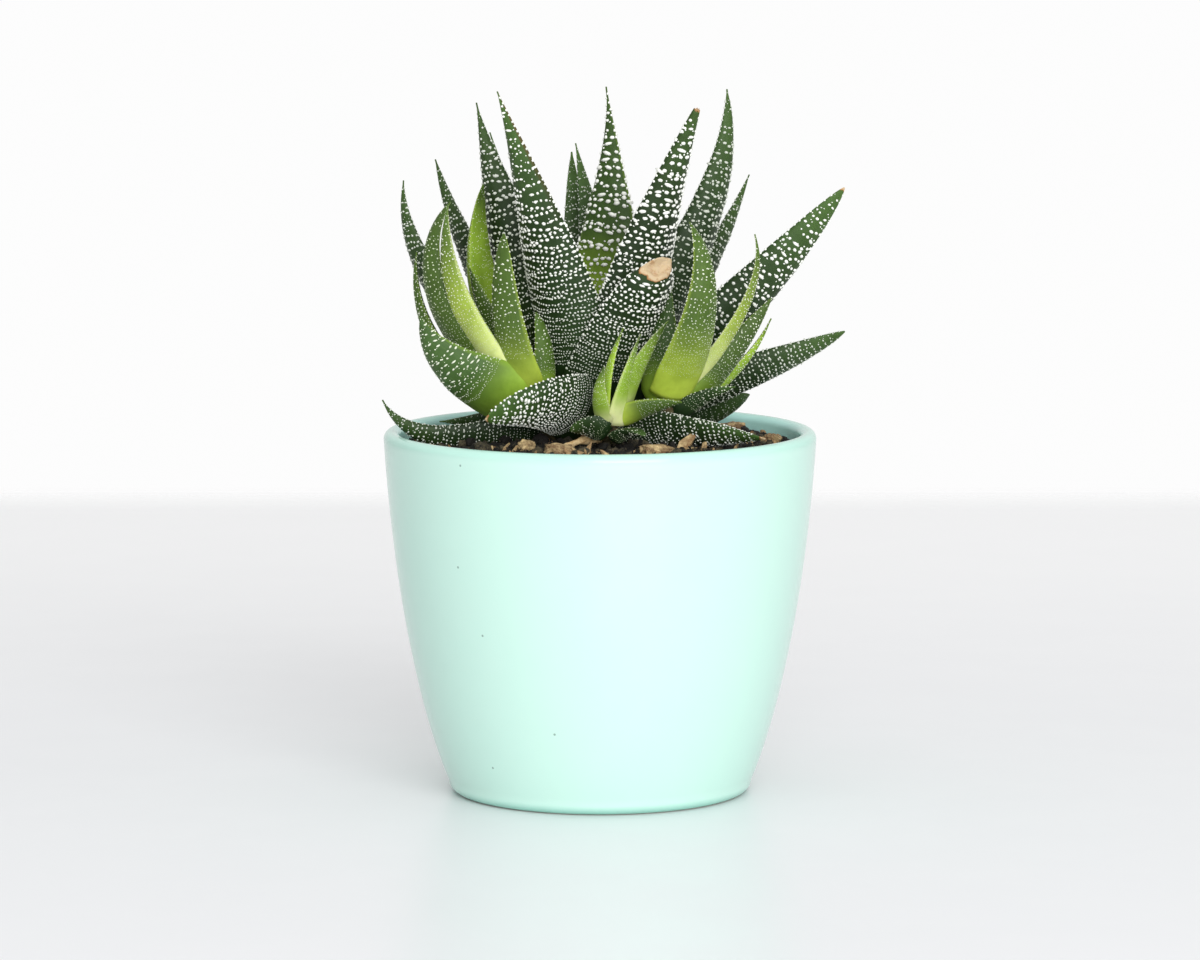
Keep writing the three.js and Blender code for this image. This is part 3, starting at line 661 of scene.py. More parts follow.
def table_material(settings):
    """A satin pale table whose far edge fades into the light behind it."""
    material, graph, shader = new_material("pale_table")
    place = graph.place()
    cloud = graph.noise(place, 5.0, 2.0)
    colour = graph.blend(graph.span(cloud, 0.3, 0.7, 0.0, 0.3), settings.table, TABLE_SHADE)
    back = graph.add("ShaderNodeSeparateXYZ", {0: place}).outputs[1]
    # painted light: whiter towards the far edge, where the light behind falls on it
    graph.put(shader, "Base Color", graph.blend(graph.span(back, 0.02, 0.4, 0.0, 0.6), colour, WHITE))
    graph.put(shader, "Roughness", graph.span(graph.noise(place, 40.0), 0.3, 0.7, 0.3, 0.36))
    before, past = TABLE_FADE
    edge = settings.table_back
    graph.put(shader, "Alpha", graph.span(back, edge - before, edge + past, 1.0, 0.0))
    return material


# ---- meshes ----
WELD = 1e-7  # points nearer than this, in metres, become one


def rolled(mesh, sides, rings, place):
    """Rolls a grid into a closed tube. place gives the point for a turn and a length, both from 0 to 1, and
    one same point for every turn at both ends. Gives the vertices with their turn and length."""
    made = bmesh.ops.create_grid(mesh, x_segments=sides, y_segments=rings, size=0.5)
    where = {vert: (vert.co.x + 0.5, vert.co.y + 0.5) for vert in made["verts"]}
    for vert, (turn, length) in where.items():
        vert.co = place(turn, length)
    return where


def close_tube(mesh, where):
    """Welds the seam and the two ends of a rolled tube."""
    bmesh.ops.remove_doubles(mesh, verts=list(where), dist=WELD)


def scatter(mesh, lumps, finish, batch=24):
    """Adds a small round lump of 20 faces for each entry of lumps, pressed and placed by its matrix, and
    hands its vertices and the entry to finish. Lumps are made a batch at a time, which is quick."""
    part = bmesh.new()
    for layer in mesh.verts.layers.float.keys():
        part.verts.layers.float.new(layer)
    carried = bpy.data.meshes.new("lumps")
    for start in range(0, len(lumps), batch):
        for lump in lumps[start:start + batch]:
            made = bmesh.ops.create_icosphere(part, subdivisions=1, radius=1, matrix=lump[0])
            finish(part, made["verts"], lump)
        part.to_mesh(carried)
        mesh.from_mesh(carried)
        bmesh.ops.delete(part, geom=part.verts, context="VERTS")
    part.free()
    bpy.data.meshes.remove(carried)


def faces_of(verts):
    return {face for vert in verts for face in vert.link_faces}


def shade_smooth(faces):
    for face in faces:
        face.smooth = True


def new_piece(name, mesh, materials, slot, *nodes):
    """Makes a bmesh an object that stands for its CAD nodes, and rides on the body."""
    data = bpy.data.meshes.new(name)
    bmesh.ops.recalc_face_normals(mesh, faces=mesh.faces)
    mesh.to_mesh(data)
    mesh.free()
    for material in materials:
        data.materials.append(material)
    piece = bpy.data.objects.new(name, data)
    bpy.context.scene.collection.objects.link(piece)
    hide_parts(*nodes)
    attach(piece, BODY)
    return piece


def spun(mesh, profile, steps):
    """Turns a profile of radii and heights, in millimetres, that starts and ends on the axis."""
    verts = [mesh.verts.new((radius * MM, 0, height * MM)) for radius, height in profile]
    edges = [mesh.edges.new(pair) for pair in zip(verts, verts[1:])]
    bmesh.ops.spin(
        mesh, geom=verts + edges, cent=(0, 0, 0), axis=(0, 0, 1), angle=2 * math.pi, steps=steps,
        use_merge=True,
    )
    bmesh.ops.remove_doubles(mesh, verts=mesh.verts, dist=WELD)
    shade_smooth(mesh.faces)


def arc(centre, radius, start, end, steps):
    """Points of an arc, from start to end degrees."""
    angles = [math.radians(start + (end - start) * i / steps) for i in range(steps + 1)]
    return [(centre[0] + radius * math.cos(a), centre[1] + radius * math.sin(a)) for a in angles]


# ---- the pot and the soil ----
def outer_wall(wall, steps):
    """The wall's outer line from the foot to the lip, which is as round as the wall is thick."""
    ends = (FOOT_RADIUS + FOOT_CORNER, FOOT_CORNER), (RIM_RADIUS, POT_HEIGHT - wall / 2)
    knots = [Vector(p) for p in (ends[0], *WALL_SWELL, ends[1])]
    return [(p.x, p.y) for p in interpolate_bezier(*knots, steps)]


def inner_wall(wall, lowest, gap=0.0):
    """The line at a gap from the wall's inner face, from the lip down to a lowest height."""
    line = [Vector(p) for p in outer_wall(wall, steps=48)]
    points = []
    for before, after in zip(line, line[1:]):
        along = (after - before).normalized()
        middle = (before + after) / 2
        points.append((middle.x - along.y * (wall + gap), middle.y + along.x * (wall + gap)))
    return [p for p in reversed(points) if p[1] > lowest]


def pot_mesh(mesh, wall):
    """The pot's shell, turned from one profile up the outside, over the lip and down the inside."""
    inner = inner_wall(wall, FLOOR + FLOOR_CORNER)
    corner = inner[-1][0]
    profile = [(0, 0), (FOOT_RADIUS - wall, 0)]
    profile += arc((FOOT_RADIUS, FOOT_CORNER), FOOT_CORNER, -90, 0, steps=8)
    profile += outer_wall(wall, steps=40)[1:-1]
    profile += arc((RIM_RADIUS - wall / 2, POT_HEIGHT - wall / 2), wall / 2, 0, 180, steps=14)
    profile += inner[1:]
    profile += [(corner - FLOOR_CORNER * 0.35, FLOOR + FLOOR_CORNER * 0.3)]
    profile += [(corner - FLOOR_CORNER, FLOOR), (0, FLOOR)]
    spun(mesh, profile, POT_FACES)


def soil_height(x, y):
    """The height of the soil's surface, in millimetres."""
    rough = noise.fractal(Vector((x, y, 3.0)) * 0.35, 0.6, 2.0, 4)
    level = SOIL_LEVEL + SOIL_MOUND * (1 - smooth(math.hypot(x, y), *MOUND_RADII))
    return level + SOIL_ROUGHNESS * rough


def soil_mesh(mesh, settings, wall):
    """The soil, from just inside the pot's wall and floor to its rough surface, with crumbs strewn on it."""
    bottom = FLOOR + GAP
    side = [p for p in reversed(inner_wall(wall, bottom + FLOOR_CORNER, GAP)) if p[1] < SOIL_LEVEL - 0.5]
    edge = side[-1][0]
    top = [(edge * (1 - i / SOIL_RINGS), SOIL_LEVEL) for i in range(SOIL_RINGS + 1)]
    spun(mesh, [(0, bottom), (side[0][0] - FLOOR_CORNER, bottom), *side, *top], SOIL_FACES)
    for vert in mesh.verts:
        x, y, z = vert.co / MM
        if z > SOIL_LEVEL - 0.01:
            vert.co.z = soil_height(x, y) * MM

    def finish(part, verts, crumb):
        for vert in verts:
            vert.co += noise.random_vector() * crumb[1] * 0.22
        for face in faces_of(verts):
            face.material_index = crumb[2]

    scatter(mesh, list(crumbs(settings, edge - CRUMB_CLEARANCE)), finish)


def crumbs(settings, reach):
    """Each crumb's matrix, size and kind, for crumbs strewn as far out as reach."""
    rng = random.Random(3)
    for _ in range(settings.crumbs):
        radius = reach * math.sqrt(rng.random())
        turn = rng.uniform(0, 2 * math.pi)
        x, y = radius * math.cos(turn), radius * math.sin(turn)
        size = settings.crumb_size * rng.lognormvariate(0, 0.5)
        kind = rng.choice(CRUMB_KINDS)
        thin = 0.5 if kind == 2 else 1  # fibres of bark are longer and thinner than crumbs
        length, depth = size * rng.uniform(0.8, 1.5) / thin, size * rng.uniform(0.5, 0.9)
        lump = Matrix.Diagonal((length, size * thin, depth, 1))
        spin = Euler([rng.uniform(0, math.pi) for _ in range(3)]).to_matrix().to_4x4()
        at = Matrix.Translation(Vector((x * MM, y * MM, soil_height(x, y) * MM + size * 0.25)))
        yield at @ spin @ lump, size, kind


def bark_mesh(mesh, chip, seed):
    """A splintered chip, with steps across its grain."""
    length, width, thickness = (size / 2 * MM for size in chip["size"])
    bmesh.ops.create_icosphere(mesh, subdivisions=5, radius=1)
    for vert in mesh.verts:
        at = vert.co.copy()
        box = Vector(math.copysign(abs(c) ** 0.7, c) for c in at)  # squarer than a ball
        lines = noise.noise(Vector((at.x * 0.8, at.y * 5, at.z * 5)) + Vector((seed, 0, 0)))
        rough = noise.fractal(at * 2.2 + Vector((0, seed, 0)), 0.7, 2.1, 5)
        vert.co = box * (0.9 + 0.1 * lines + 0.16 * rough)
    turn = Euler((0, math.radians(chip["tilt"]), math.radians(chip["turn"]))).to_matrix().to_4x4()
    size = Matrix.Diagonal((length, width, thickness, 1))
    at = Matrix.Translation(Vector(chip["at"]) * MM)
    bmesh.ops.transform(mesh, matrix=at @ turn @ size, verts=mesh.verts)
    shade_smooth(mesh.faces)


def along_points(points, t):
    """A point on a smooth line through points, for t from 0 to 1."""
    spans = len(points) - 1
    i = min(int(t * spans), spans - 1)
    u = t * spans - i
    a, b, c, d = (Vector(points[max(0, min(spans, i + k))]) for k in (-1, 0, 1, 2))
    bend = (2 * a - 5 * b + 4 * c - d) * u**2
    return 0.5 * ((2 * b) + (c - a) * u + bend + (3 * b - 3 * c + d - a) * u**3)


def tube_mesh(mesh, points, radius, sides, rings, rough):
    """A tube along points, in millimetres. radius takes the share of the length, and rough roughens it."""
    ends = 1 / rings

    def place(turn, length):
        t = min(1.0, max(0.0, (length - ends) / (1 - 2 * ends)))
        at = along_points(points, t)
        ahead = along_points(points, min(1.0, t + 0.01)) - along_points(points, max(0.0, t - 0.01))
        side = ahead.cross(Vector((0, 0, 1)))
        side = side.normalized() if side.length > 1e-6 else Vector((1, 0, 0))
        up = side.cross(ahead).normalized()
        angle = 2 * math.pi * turn
        reach = radius(t) if 0 < length < 1 else 0.0
        reach *= 1 + rough * noise.noise(Vector((math.cos(angle), math.sin(angle), t * 9)) * 1.6)
        return (at + (side * math.cos(angle) + up * math.sin(angle)) * reach) * MM

    where = rolled(mesh, sides, rings, place)
    shade_smooth(faces_of(where))
    close_tube(mesh, where)


def main_stem_mesh(mesh):
    """The crown, which is widest in the soil and narrows among the leaves, and its roots."""
    main = ROSETTES["main"]
    x, y, radius, top = main["x"], main["y"], main["radius"], main["top"]

    def stem_radius(t):
        return radius * (0.6 + 0.4 * smooth(t, 0, 0.15)) * (1 - 0.75 * smooth(t, 0.65, 1.0))

    def root_radius(t):
        return ROOT_RADIUS * (1 - 0.45 * t)

    heights = CROWN_BOTTOM, CROWN_BOTTOM + ROOT_START, top - CROWN_NECK, top
    tube_mesh(mesh, [(x, y, z) for z in heights], stem_radius, sides=24, rings=24, rough=0.12)
    for azimuth, reach, lowest in ROOTS:
        turn = math.radians(azimuth)
        bends = [(reach * ROOT_BENDS[0], CROWN_BOTTOM), (reach * ROOT_BENDS[1], (CROWN_BOTTOM + lowest) / 2)]
        line = [(0, CROWN_BOTTOM + ROOT_START), *bends, (reach, lowest)]
        points = [(x + r * math.cos(turn), y + r * math.sin(turn), z) for r, z in line]
        tube_mesh(mesh, points, root_radius, sides=12, rings=30, rough=0.3)


def offset_stem_mesh(mesh, side):
    """The stem of an offset, which leaves the main one just above the soil and turns up."""
    main, rosette = ROSETTES["main"], ROSETTES[side]
    start = Vector((main["x"], main["y"], 0))
    end = Vector((rosette["x"], rosette["y"], 0))
    out, up = (end - start).normalized(), Vector((0, 0, 1))
    level = SOIL_LEVEL + RUNNER_HEIGHT
    points = [
        start + out * main["radius"] * RUNNER_START + up * level,
        (start + end) / 2 + up * (level + RUNNER_RISE),
        end + up * ((level + rosette["top"]) / 2 - RUNNER_SAG),
        end + out * RUNNER_RISE + up * rosette["top"],
    ]

    def radius(t):
        return rosette["radius"] * (1 - 0.3 * smooth(t, 0.8, 1))

    tube_mesh(mesh, points, radius, sides=20, rings=32, rough=0.15)


def stalk_mesh(mesh):
    """The dry stalk, thickest at its middle."""

    def radius(t):
        return STALK_RADIUS * (0.7 + 0.6 * math.sin(math.pi * t) ** 2)

    tube_mesh(mesh, STALK, radius, sides=18, rings=60, rough=0.5)


# ---- leaves ----
def turned_to(lean, turn):
    """The directions along a leaf and away from its stem, for a lean and an azimuth in degrees."""
    lean, turn = math.radians(lean), math.radians(turn)
    along = Vector((math.sin(lean) * math.cos(turn), math.sin(lean) * math.sin(turn), math.cos(lean)))
    outward = Vector((math.cos(lean) * math.cos(turn), math.cos(lean) * math.sin(turn), -math.sin(lean)))
    return along, outward


def narrowing(s):
    """How much of its width a leaf keeps at a share of its length, before its own taper."""
    return math.sin((1 - s) * math.pi / 2)


class LeafShape:
    """The surface of one leaf, in millimetres."""

    def __init__(self, leaf, rosette, seed):
        self.leaf = leaf
        self.seed = seed
        self.end = 1 - leaf["cut"]
        turn = math.radians(leaf["turn"])
        start = rosette["radius"] * LEAF_ROOT
        x = rosette["x"] + start * math.cos(turn)
        y = rosette["y"] + start * math.sin(turn)
        point = Vector((x, y, leaf["up"]))
        self.points = [point.copy()]
        for i in range(SPINE_STEPS):
            point += self.directions((i + 0.5) / SPINE_STEPS)[0] * (leaf["length"] / SPINE_STEPS)
            self.points.append(point.copy())

    def directions(self, s):
        """Along the leaf, away from the stem and across it, at a share of its length."""
        leaf = self.leaf
        base, tip = leaf["lean"]
        along, outward = turned_to(base + (tip - base) * s ** leaf["late"], leaf["turn"] + leaf["sweep"] * s)
        outward = Matrix.Rotation(math.radians(leaf["roll"]), 3, along) @ outward
        return along, outward, along.cross(outward)

    def half(self, s):
        """Half the width at a share of the length."""
        leaf = self.leaf
        share = leaf["base"] + (1 - leaf["base"]) * smooth(s, 0, CLASP)
        wavy = 1 + MARGIN_WAVE * noise.noise(Vector((s * 9, self.seed, 0)))
        return max(TIP, leaf["width"] / 2 * share * narrowing(s) ** leaf["taper"] * wavy)

    def at(self, s, angle, swell=1.0):
        """The point at a share of the length and an angle round the leaf, where 90 degrees is away from the
        stem. swell is the size of the section there, and 0 its middle."""
        leaf = self.leaf
        along, outward, across = self.directions(s)
        step = min(s * SPINE_STEPS, SPINE_STEPS - 1e-6)
        i = int(step)
        spine = self.points[i].lerp(self.points[i + 1], step - i)
        side, face = math.cos(angle), math.sin(angle)
        stump = 1 - STUMP * smooth(s, self.end - STUMP_LENGTH, self.end) if leaf["slant"] else 1
        half = self.half(s) * stump
        deep = max(TIP_DEPTH, THICKNESS * leaf["width"] * narrowing(s) ** THICK_TAPER) * stump
        depth = deep * (OUTER_SHARE if face > 0 else 1 - OUTER_SHARE)
        bulge = math.copysign(abs(face) ** LENS, face) * depth
        keel = KEEL * deep * math.exp(-((side / KEEL_WIDTH) ** 2)) * s * (face > 0)
        cupped = CUP * half * side * side * (1 - s)
        point = spine + (across * side * half + outward * (bulge + keel - cupped)) * swell
        dent = noise.noise(point * 0.16 + Vector((self.seed, 0, 0)))
        return point + outward * face * dent * min(DENT, half * DENT_SHARE)

    def limit(self, angle, closing=1.0):
        """The share of the length at which the leaf ends, at an angle or part of the way to its middle."""
        slant = self.leaf["slant"] / self.leaf["length"]
        torn = noise.noise(Vector((math.cos(angle), math.sin(angle), self.seed)) * TEARS)
        return self.end - slant * (0.5 + (0.5 * math.sin(angle - SLANT_TURN) + 0.2 * torn) * closing)

    def girth(self, s, inner, steps=20):
        """Angles across one face at a share of the length, and how far each is from the margin."""
        angles = [math.pi * (inner + i / steps) for i in range(steps + 1)]
        points = [self.at(s, angle) for angle in angles]
        ways = [0.0]
        for before, after in zip(points, points[1:]):
            ways.append(ways[-1] + (after - before).length)
        return angles, ways

    def frame_at(self, s, angle):
        """The point there, with a step round the leaf, a unit step along it and its normal."""
        here = self.at(s, angle)
        round_step = (self.at(s, angle + 0.02) - here) / 0.02
        long_step = self.at(min(self.end, s + 0.004), angle) - self.at(s - 0.004, angle)
        normal = round_step.cross(long_step).normalized()
        if normal.dot(here - self.at(s, angle, 0.5)) < 0:
            normal.negate()
        return here, round_step, long_step.normalized(), normal


def dot_places(shape, leaf, rng):
    """Where the tubercles of a leaf sit: share of the length, angle, and half their length and width."""
    s = leaf["start"]
    while s < shape.end:
        grown = smooth(s, leaf["start"] - 0.05, leaf["start"] + leaf["grow"])
        ending = smooth(s, leaf["thin"], leaf["thin"] + 0.25)
        # small and close together at the base, and smaller and further apart again towards the tip
        size = leaf["dot"] * (0.34 + 0.66 * grown) * (1 - 0.35 * ending)
        spacing = leaf["row"] * (0.5 + 0.5 * grown) * (1 + 0.3 * ending)
        for inner in (False, True):
            angles, ways = shape.girth(s, inner)
            phase = rng.uniform(0, 50)
            # a row of large tubercles, and small ones strewn between it and the next
            for large in (True, False):
                scale, share = (1, 1 - 0.3 * ending) if large else (SMALL_DOTS, 0.2 + 0.2 * grown)
                share *= leaf["inner"] if inner else 1
                stray = leaf["stray"] if large else 1
                way = size * rng.uniform(0.1, 1.2)
                while way < ways[-1] - size * 0.6:
                    run = size * scale * rng.uniform(0.6, 1.15)
                    if large and rng.random() < leaf["dash"] * grown:
                        run *= rng.uniform(1.3, leaf["reach"])
                    wave = 0.8 * noise.noise(Vector((way * 0.3, phase, s * 30))) + (0 if large else 0.5)
                    place = s + spacing / leaf["length"] * (wave + rng.uniform(-0.5, 0.5) * stray)
                    angle = between(way + run / 2, ways, angles)
                    if rng.random() < share and leaf["start"] * 0.8 < place < shape.limit(angle) - 0.003:
                        yield place, angle, run / 2, size * scale * rng.uniform(0.32, 0.44)
                    way += run + size * leaf["gap"] * (1.8 - 0.8 * grown) * rng.uniform(0.6, 1.4)
        s += spacing / leaf["length"] * rng.uniform(0.9, 1.1)


def margin_places(shape, leaf, rng):
    """Small teeth along both margins."""
    for turn in (0, math.pi):
        s = leaf["start"]
        while s < shape.limit(turn) - 0.02:
            angle = turn + rng.uniform(-0.06, 0.06)
            yield s, angle, leaf["dot"] * 0.3, leaf["dot"] * rng.uniform(0.22, 0.36)
            s += leaf["row"] * rng.uniform(0.65, 1.15) / leaf["length"]


def skin_mesh(mesh, shape, leaf, sides, tone):
    """The skin of a leaf: a grid rolled round its shape, whose points carry what its material reads."""
    rings = max(FEWEST_RINGS, int(leaf["length"] * RINGS_PER_MM))
    caps = SCAR_RINGS if leaf["cut"] else 1

    def share(length):
        """The share of the leaf's length at a ring, and how far the section is open there."""
        ring = round(length * rings)
        closing = max(0, ring - (rings - caps)) / caps
        body = min(1.0, max(0.0, (ring - 1) / (rings - caps - 1)))
        return body * shape.end, (0.0 if ring == 0 else 1 - closing)

    def place(turn, length):
        s, open_share = share(length)
        angle = 2 * math.pi * turn
        swell = open_share**0.7
        s -= (shape.end - shape.limit(angle, swell)) * smooth(s, shape.end * 0.8, shape.end)
        if open_share == 1:
            return shape.at(s, angle) * MM
        if open_share == 0 or not leaf["cut"]:
            return shape.at(s, math.pi / 2, 0.0) * MM
        # the scar: a low rim, hollow inside it, with a crust
        along = shape.directions(s)[0]
        round_scar = Vector((math.cos(angle), math.sin(angle), open_share))
        crust = noise.noise(round_scar * 2.3 + Vector((shape.seed, 0, 0)))
        dip = 0.5 * smooth(open_share, 1, 0.8) - 1.3 * smooth(open_share, 0.8, 0) + 0.4 * crust
        return (shape.at(s, angle, swell) + along * dip) * MM

    def dried(s, open_share):
        """How dry the leaf is at a ring: crusted on its scar, or more and more so towards a dried tip."""
        if leaf["cut"] and s == shape.end:
            return leaf["cap"] * (0.3 if open_share == 1 else 1)
        return max(0.0, 1 - (shape.end - s) / leaf["dry"]) if leaf["dry"] else 0.0

    where = rolled(mesh, sides, rings, place)
    for vert, (turn, length) in where.items():
        s, open_share = share(length)
        values = s, math.cos(2 * math.pi * turn), tone, dried(s, open_share), leaf["rust"]
        for name, value in zip(SKIN_LAYERS, values):
            vert[mesh.verts.layers.float[name]] = value
    shade_smooth(mesh.faces)
    close_tube(mesh, where)


def tubercles(shape, leaf, tallest, rng):
    """Each tubercle's matrix, and how far it is painted in shade."""
    for s, turn, half_run, half_width in [*dot_places(shape, leaf, rng), *margin_places(shape, leaf, rng)]:
        if leaf["dry"] and s > shape.end - leaf["dry"] * 0.8:
            continue  # none stand where the leaf has dried
        here, round_step, long_step, normal = shape.frame_at(s, turn)
        rise = min(tallest, half_width * 0.85)
        askew = Matrix.Rotation(rng.uniform(-0.4, 0.4) * min(1, 2 * half_width / half_run), 3, normal)
        columns = (askew @ round_step.normalized() * half_run, askew @ long_step * half_width, normal * rise)
        pressed = Matrix(columns).transposed().to_4x4()
        # painted shade on the tubercles: the whole leaf's where it lies in shade, more at its crowded base
        dot_shade = max(leaf["dull"], leaf["dot_shade"] * smooth(s, 0.5, 0.15))
        yield Matrix.Translation(here * MM) @ pressed @ Matrix.Scale(MM, 4), dot_shade


def leaf_mesh(mesh, leaf, rosette, settings, seed):
    """A leaf with its tubercles."""
    for name in (*SKIN_LAYERS, "dot_shade"):
        mesh.verts.layers.float.new(name)
    shape = LeafShape(leaf, rosette, seed)
    rng = random.Random(seed)
    skin_mesh(mesh, shape, leaf, settings.sides, rng.random())

    def finish(part, verts, dot):
        for vert in verts:
            vert[part.verts.layers.float["dot_shade"]] = dot[1]
        for face in faces_of(verts):
            face.material_index = 1
            face.smooth = True

    scatter(mesh, list(tubercles(shape, leaf, settings.dot_height / MM, rng)), finish)


# ---- operators ----
class HAWORTHIA_OT_pot(bpy.types.Operator):
    """Add the glazed pot"""

    bl_idname = "haworthia.pot"
    bl_label = "Pot"

    def execute(self, context):
        settings = context.scene.haworthia_pot
        mesh = bmesh.new()
        pot_mesh(mesh, millimetres(settings.wall))
        new_piece("glazed_pot", mesh, [glaze_material(settings)], "mint_glaze", "pot")
        return {"FINISHED"}


class HAWORTHIA_OT_soil(bpy.types.Operator):
    """Add the soil with its crumbs"""

    bl_idname = "haworthia.soil"
    bl_label = "Soil"

    def execute(self, context):
        settings = context.scene.haworthia_soil
        noise.seed_set(11)  # so that the crumbs come out the same each time
        mesh = bmesh.new()
        soil_mesh(mesh, settings, millimetres(context.scene.haworthia_pot.wall))
        # in the order of the kinds of crumbs
        materials = [
            earth_material("moist_soil", settings.soil, SOIL_SHADE, 500.0),
            earth_material("dry_crumbs", settings.crumb, settings.soil, 600.0),
            woody_material("bark_crumbs", settings.bark, FIBRE_SHADE, 900.0),
        ]
        new_piece("potting_soil", mesh, materials, "potting_soil", "soil")
        return {"FINISHED"}


class HAWORTHIA_OT_bark(bpy.types.Operator):
    """Add the bark chips and the dry stalk that lie in the soil"""

    bl_idname = "haworthia.bark"
    bl_label = "Bark and stalk"

    def execute(self, context):
        settings = context.scene.haworthia_soil
        bark = woody_material("bark", settings.bark, BARK_SHADE, 800.0)
        for i, (name, chip) in enumerate(CHIPS.items()):
            mesh = bmesh.new()
            bark_mesh(mesh, chip, i * 7.3)  # a seed of its own for each chip
            new_piece(f"{name}_weathered", mesh, [bark], "bark", name)
        mesh = bmesh.new()
        stalk_mesh(mesh)
        stalk = woody_material("dry_stalk_fibre", settings.stalk, STALK_SHADE, 900.0)
        new_piece("dry_stalk_weathered", mesh, [stalk], "dry_stalk", "dry_stalk")
        return {"FINISHED"}


class HAWORTHIA_OT_stems(bpy.types.Operator):
    """Add the main stem with its roots and the stems of the offsets"""

    bl_idname = "haworthia.stems"
    bl_label = "Stems and roots"

    def execute(self, context):
        material = woody_material("stem_skin", STEM_SKIN, STEM_SHADE, 500.0)
        mesh = bmesh.new()
        main_stem_mesh(mesh)
        new_piece("crown_and_roots", mesh, [material], "stem", "main_stem")
        for side in ("left", "right", "front"):
            mesh = bmesh.new()
            offset_stem_mesh(mesh, side)
            new_piece(f"{side}_runner", mesh, [material], "stem", f"{side}_offset_stem")
        return {"FINISHED"}


class HAWORTHIA_OT_rosette(bpy.types.Operator):
    """Add the leaves of one rosette with their tubercles"""

    bl_idname = "haworthia.rosette"
    bl_label = "Rosette"

    side: bpy.props.EnumProperty(
        name="Rosette", description="Which rosette the leaves belong to",
        items=[(side, side.capitalize(), f"The {side} rosette") for side in ROSETTES],
    )

    def execute(self, context):
        settings = context.scene.haworthia_leaves
        rosette = ROSETTES[self.side]
        mature = self.side == "main"
        # the second colour is the tubercles' painted shade
        if mature:
            dots = tubercle_material("tubercle", settings.tubercle, SHADED_TUBERCLE)
        else:
            dots = tubercle_material("young_tubercle", settings.young_tubercle, settings.bright)
        for i, own in enumerate(rosette["leaves"], 1):
            leaf = rosette["kind"] | own
            node = f"{self.side}_leaf_{i:02d}"
            mesh = bmesh.new()
            leaf_mesh(mesh, leaf, rosette, settings, seed=i + 100 * len(self.side))
            materials = [leaf_material(leaf["skin"], settings), dots]
            new_piece(f"{node}_skin", mesh, materials, "mature_leaf" if mature else "young_leaf", node)
        return {"FINISHED"}


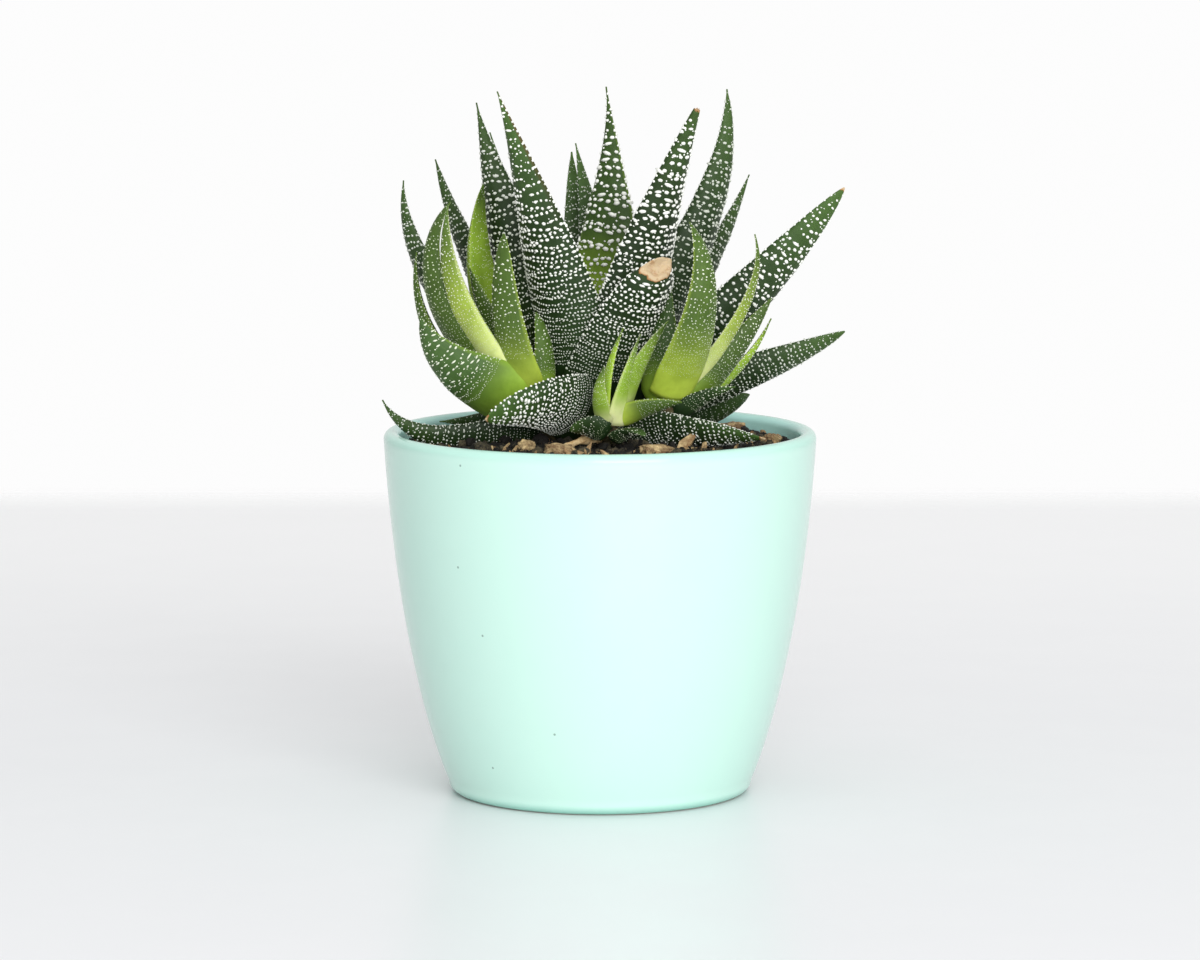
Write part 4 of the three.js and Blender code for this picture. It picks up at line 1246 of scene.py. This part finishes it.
class HAWORTHIA_OT_stage(bpy.types.Operator):
    """Add the table, the light and the camera"""

    bl_idname = "haworthia.stage"
    bl_label = "Stage"

    def execute(self, context):
        settings = context.scene.haworthia_stage
        self.add_table(context, settings)
        self.add_surround(context, settings)
        self.add_window(context, settings)
        self.add_camera(context, settings)
        context.scene.view_settings.view_transform = "Standard"
        return {"FINISHED"}

    def add_table(self, context, settings):
        mesh = bmesh.new()
        bmesh.ops.create_grid(mesh, x_segments=8, y_segments=8, size=TABLE_REACH)
        back = Vector((0, settings.table_back + TABLE_MARGIN - TABLE_REACH, 0))
        bmesh.ops.translate(mesh, verts=mesh.verts, vec=back)
        data = bpy.data.meshes.new("table")
        mesh.to_mesh(data)
        mesh.free()
        data.materials.append(table_material(settings))
        table = bpy.data.objects.new("table", data)
        context.scene.collection.objects.link(table)

    def add_surround(self, context, settings):
        """White to the camera, and dimmer low on the left and the right where it lights the plant."""
        world = bpy.data.worlds.new("pale_surround")
        world.use_nodes = True
        world.node_tree.nodes.clear()
        graph = Graph(world.node_tree)
        seen = graph.add("ShaderNodeLightPath").outputs["Is Camera Ray"]
        way = graph.add("ShaderNodeSeparateXYZ", {0: graph.add("ShaderNodeTexCoord").outputs["Generated"]})
        left = graph.span(way.outputs[0], -1.0, -0.1, 0.6, 0.0)
        right = graph.span(way.outputs[0], 0.2, 1.0, 0.0, 0.5)
        low = graph.span(way.outputs[2], 0.1, 0.6, 1.0, 0.0)
        dimmed = graph.times(graph.plus(left, right), low)
        strength = graph.times(graph.math("SUBTRACT", 1.0, dimmed), settings.sky)
        lit = graph.add("ShaderNodeBackground", {"Color": (1, 1, 1, 1), "Strength": strength})
        shown = graph.add("ShaderNodeBackground", {"Color": (0.98, 0.98, 0.98, 1), "Strength": 1.0})
        mixed = graph.add("ShaderNodeMixShader", {0: seen, 1: lit.outputs[0], 2: shown.outputs[0]})
        graph.add("ShaderNodeOutputWorld", {"Surface": mixed.outputs[0]})
        context.scene.world = world

    def add_window(self, context, settings):
        light = bpy.data.lights.new("window", "AREA")
        light.shape = "RECTANGLE"
        light.size = WINDOW_SIZE
        light.size_y = WINDOW_SIZE
        light.energy = settings.window
        window = bpy.data.objects.new("window", light)
        turn, away = WINDOW_AZIMUTH, WINDOW_DISTANCE
        window.location = (away * math.sin(turn), -away * math.cos(turn), WINDOW_HEIGHT)
        aim = Vector((0, 0, WINDOW_AIM)) - window.location
        window.rotation_euler = aim.to_track_quat("-Z", "Y").to_euler()
        context.scene.collection.objects.link(window)

    def add_camera(self, context, settings):
        data = bpy.data.cameras.new("camera")
        data.lens = settings.lens
        data.sensor_width = 36
        camera = bpy.data.objects.new("camera", data)
        down, away = settings.camera_angle, settings.camera_distance
        camera.location = (0, -away * math.cos(down), settings.camera_aim + away * math.sin(down))
        camera.rotation_euler = (math.pi / 2 - down, 0, 0)
        context.scene.collection.objects.link(camera)
        context.scene.camera = camera


class HAWORTHIA_PT_panel(bpy.types.Panel):
    """Lists the pieces that can be added"""

    bl_idname = "HAWORTHIA_PT_panel"
    bl_label = "Haworthia"
    bl_space_type = "VIEW_3D"
    bl_region_type = "UI"
    bl_category = "Haworthia"

    def draw(self, context):
        for group, names in SHOWN.items():
            box = self.layout.box()
            for name in names:
                box.prop(getattr(context.scene, group), name)
        for side in ROSETTES:
            self.layout.operator("haworthia.rosette", text=f"{side.capitalize()} rosette").side = side
        for name in ("pot", "soil", "bark", "stems", "stage"):
            self.layout.operator(f"haworthia.{name}")


GROUPS = {
    "haworthia_pot": HaworthiaPot,
    "haworthia_leaves": HaworthiaLeaves,
    "haworthia_soil": HaworthiaSoil,
    "haworthia_stage": HaworthiaStage,
}
SHOWN = {group: list(kind.__annotations__) for group, kind in GROUPS.items()}
CLASSES = [
    *GROUPS.values(), HAWORTHIA_OT_pot, HAWORTHIA_OT_soil, HAWORTHIA_OT_bark, HAWORTHIA_OT_stems,
    HAWORTHIA_OT_rosette, HAWORTHIA_OT_stage, HAWORTHIA_PT_panel,
]


def register():
    for kind in CLASSES:
        bpy.utils.register_class(kind)
    for name, kind in GROUPS.items():
        setattr(bpy.types.Scene, name, bpy.props.PointerProperty(type=kind))


def unregister():
    for name in GROUPS:
        delattr(bpy.types.Scene, name)
    for kind in reversed(CLASSES):
        bpy.utils.unregister_class(kind)


def main():
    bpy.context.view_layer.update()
    register()
    bpy.ops.haworthia.pot()
    bpy.ops.haworthia.soil()
    bpy.ops.haworthia.bark()
    bpy.ops.haworthia.stems()
    for side in ROSETTES:
        bpy.ops.haworthia.rosette(side=side)
    bpy.ops.haworthia.stage()
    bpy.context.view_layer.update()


if __name__ == "__main__":
    main()
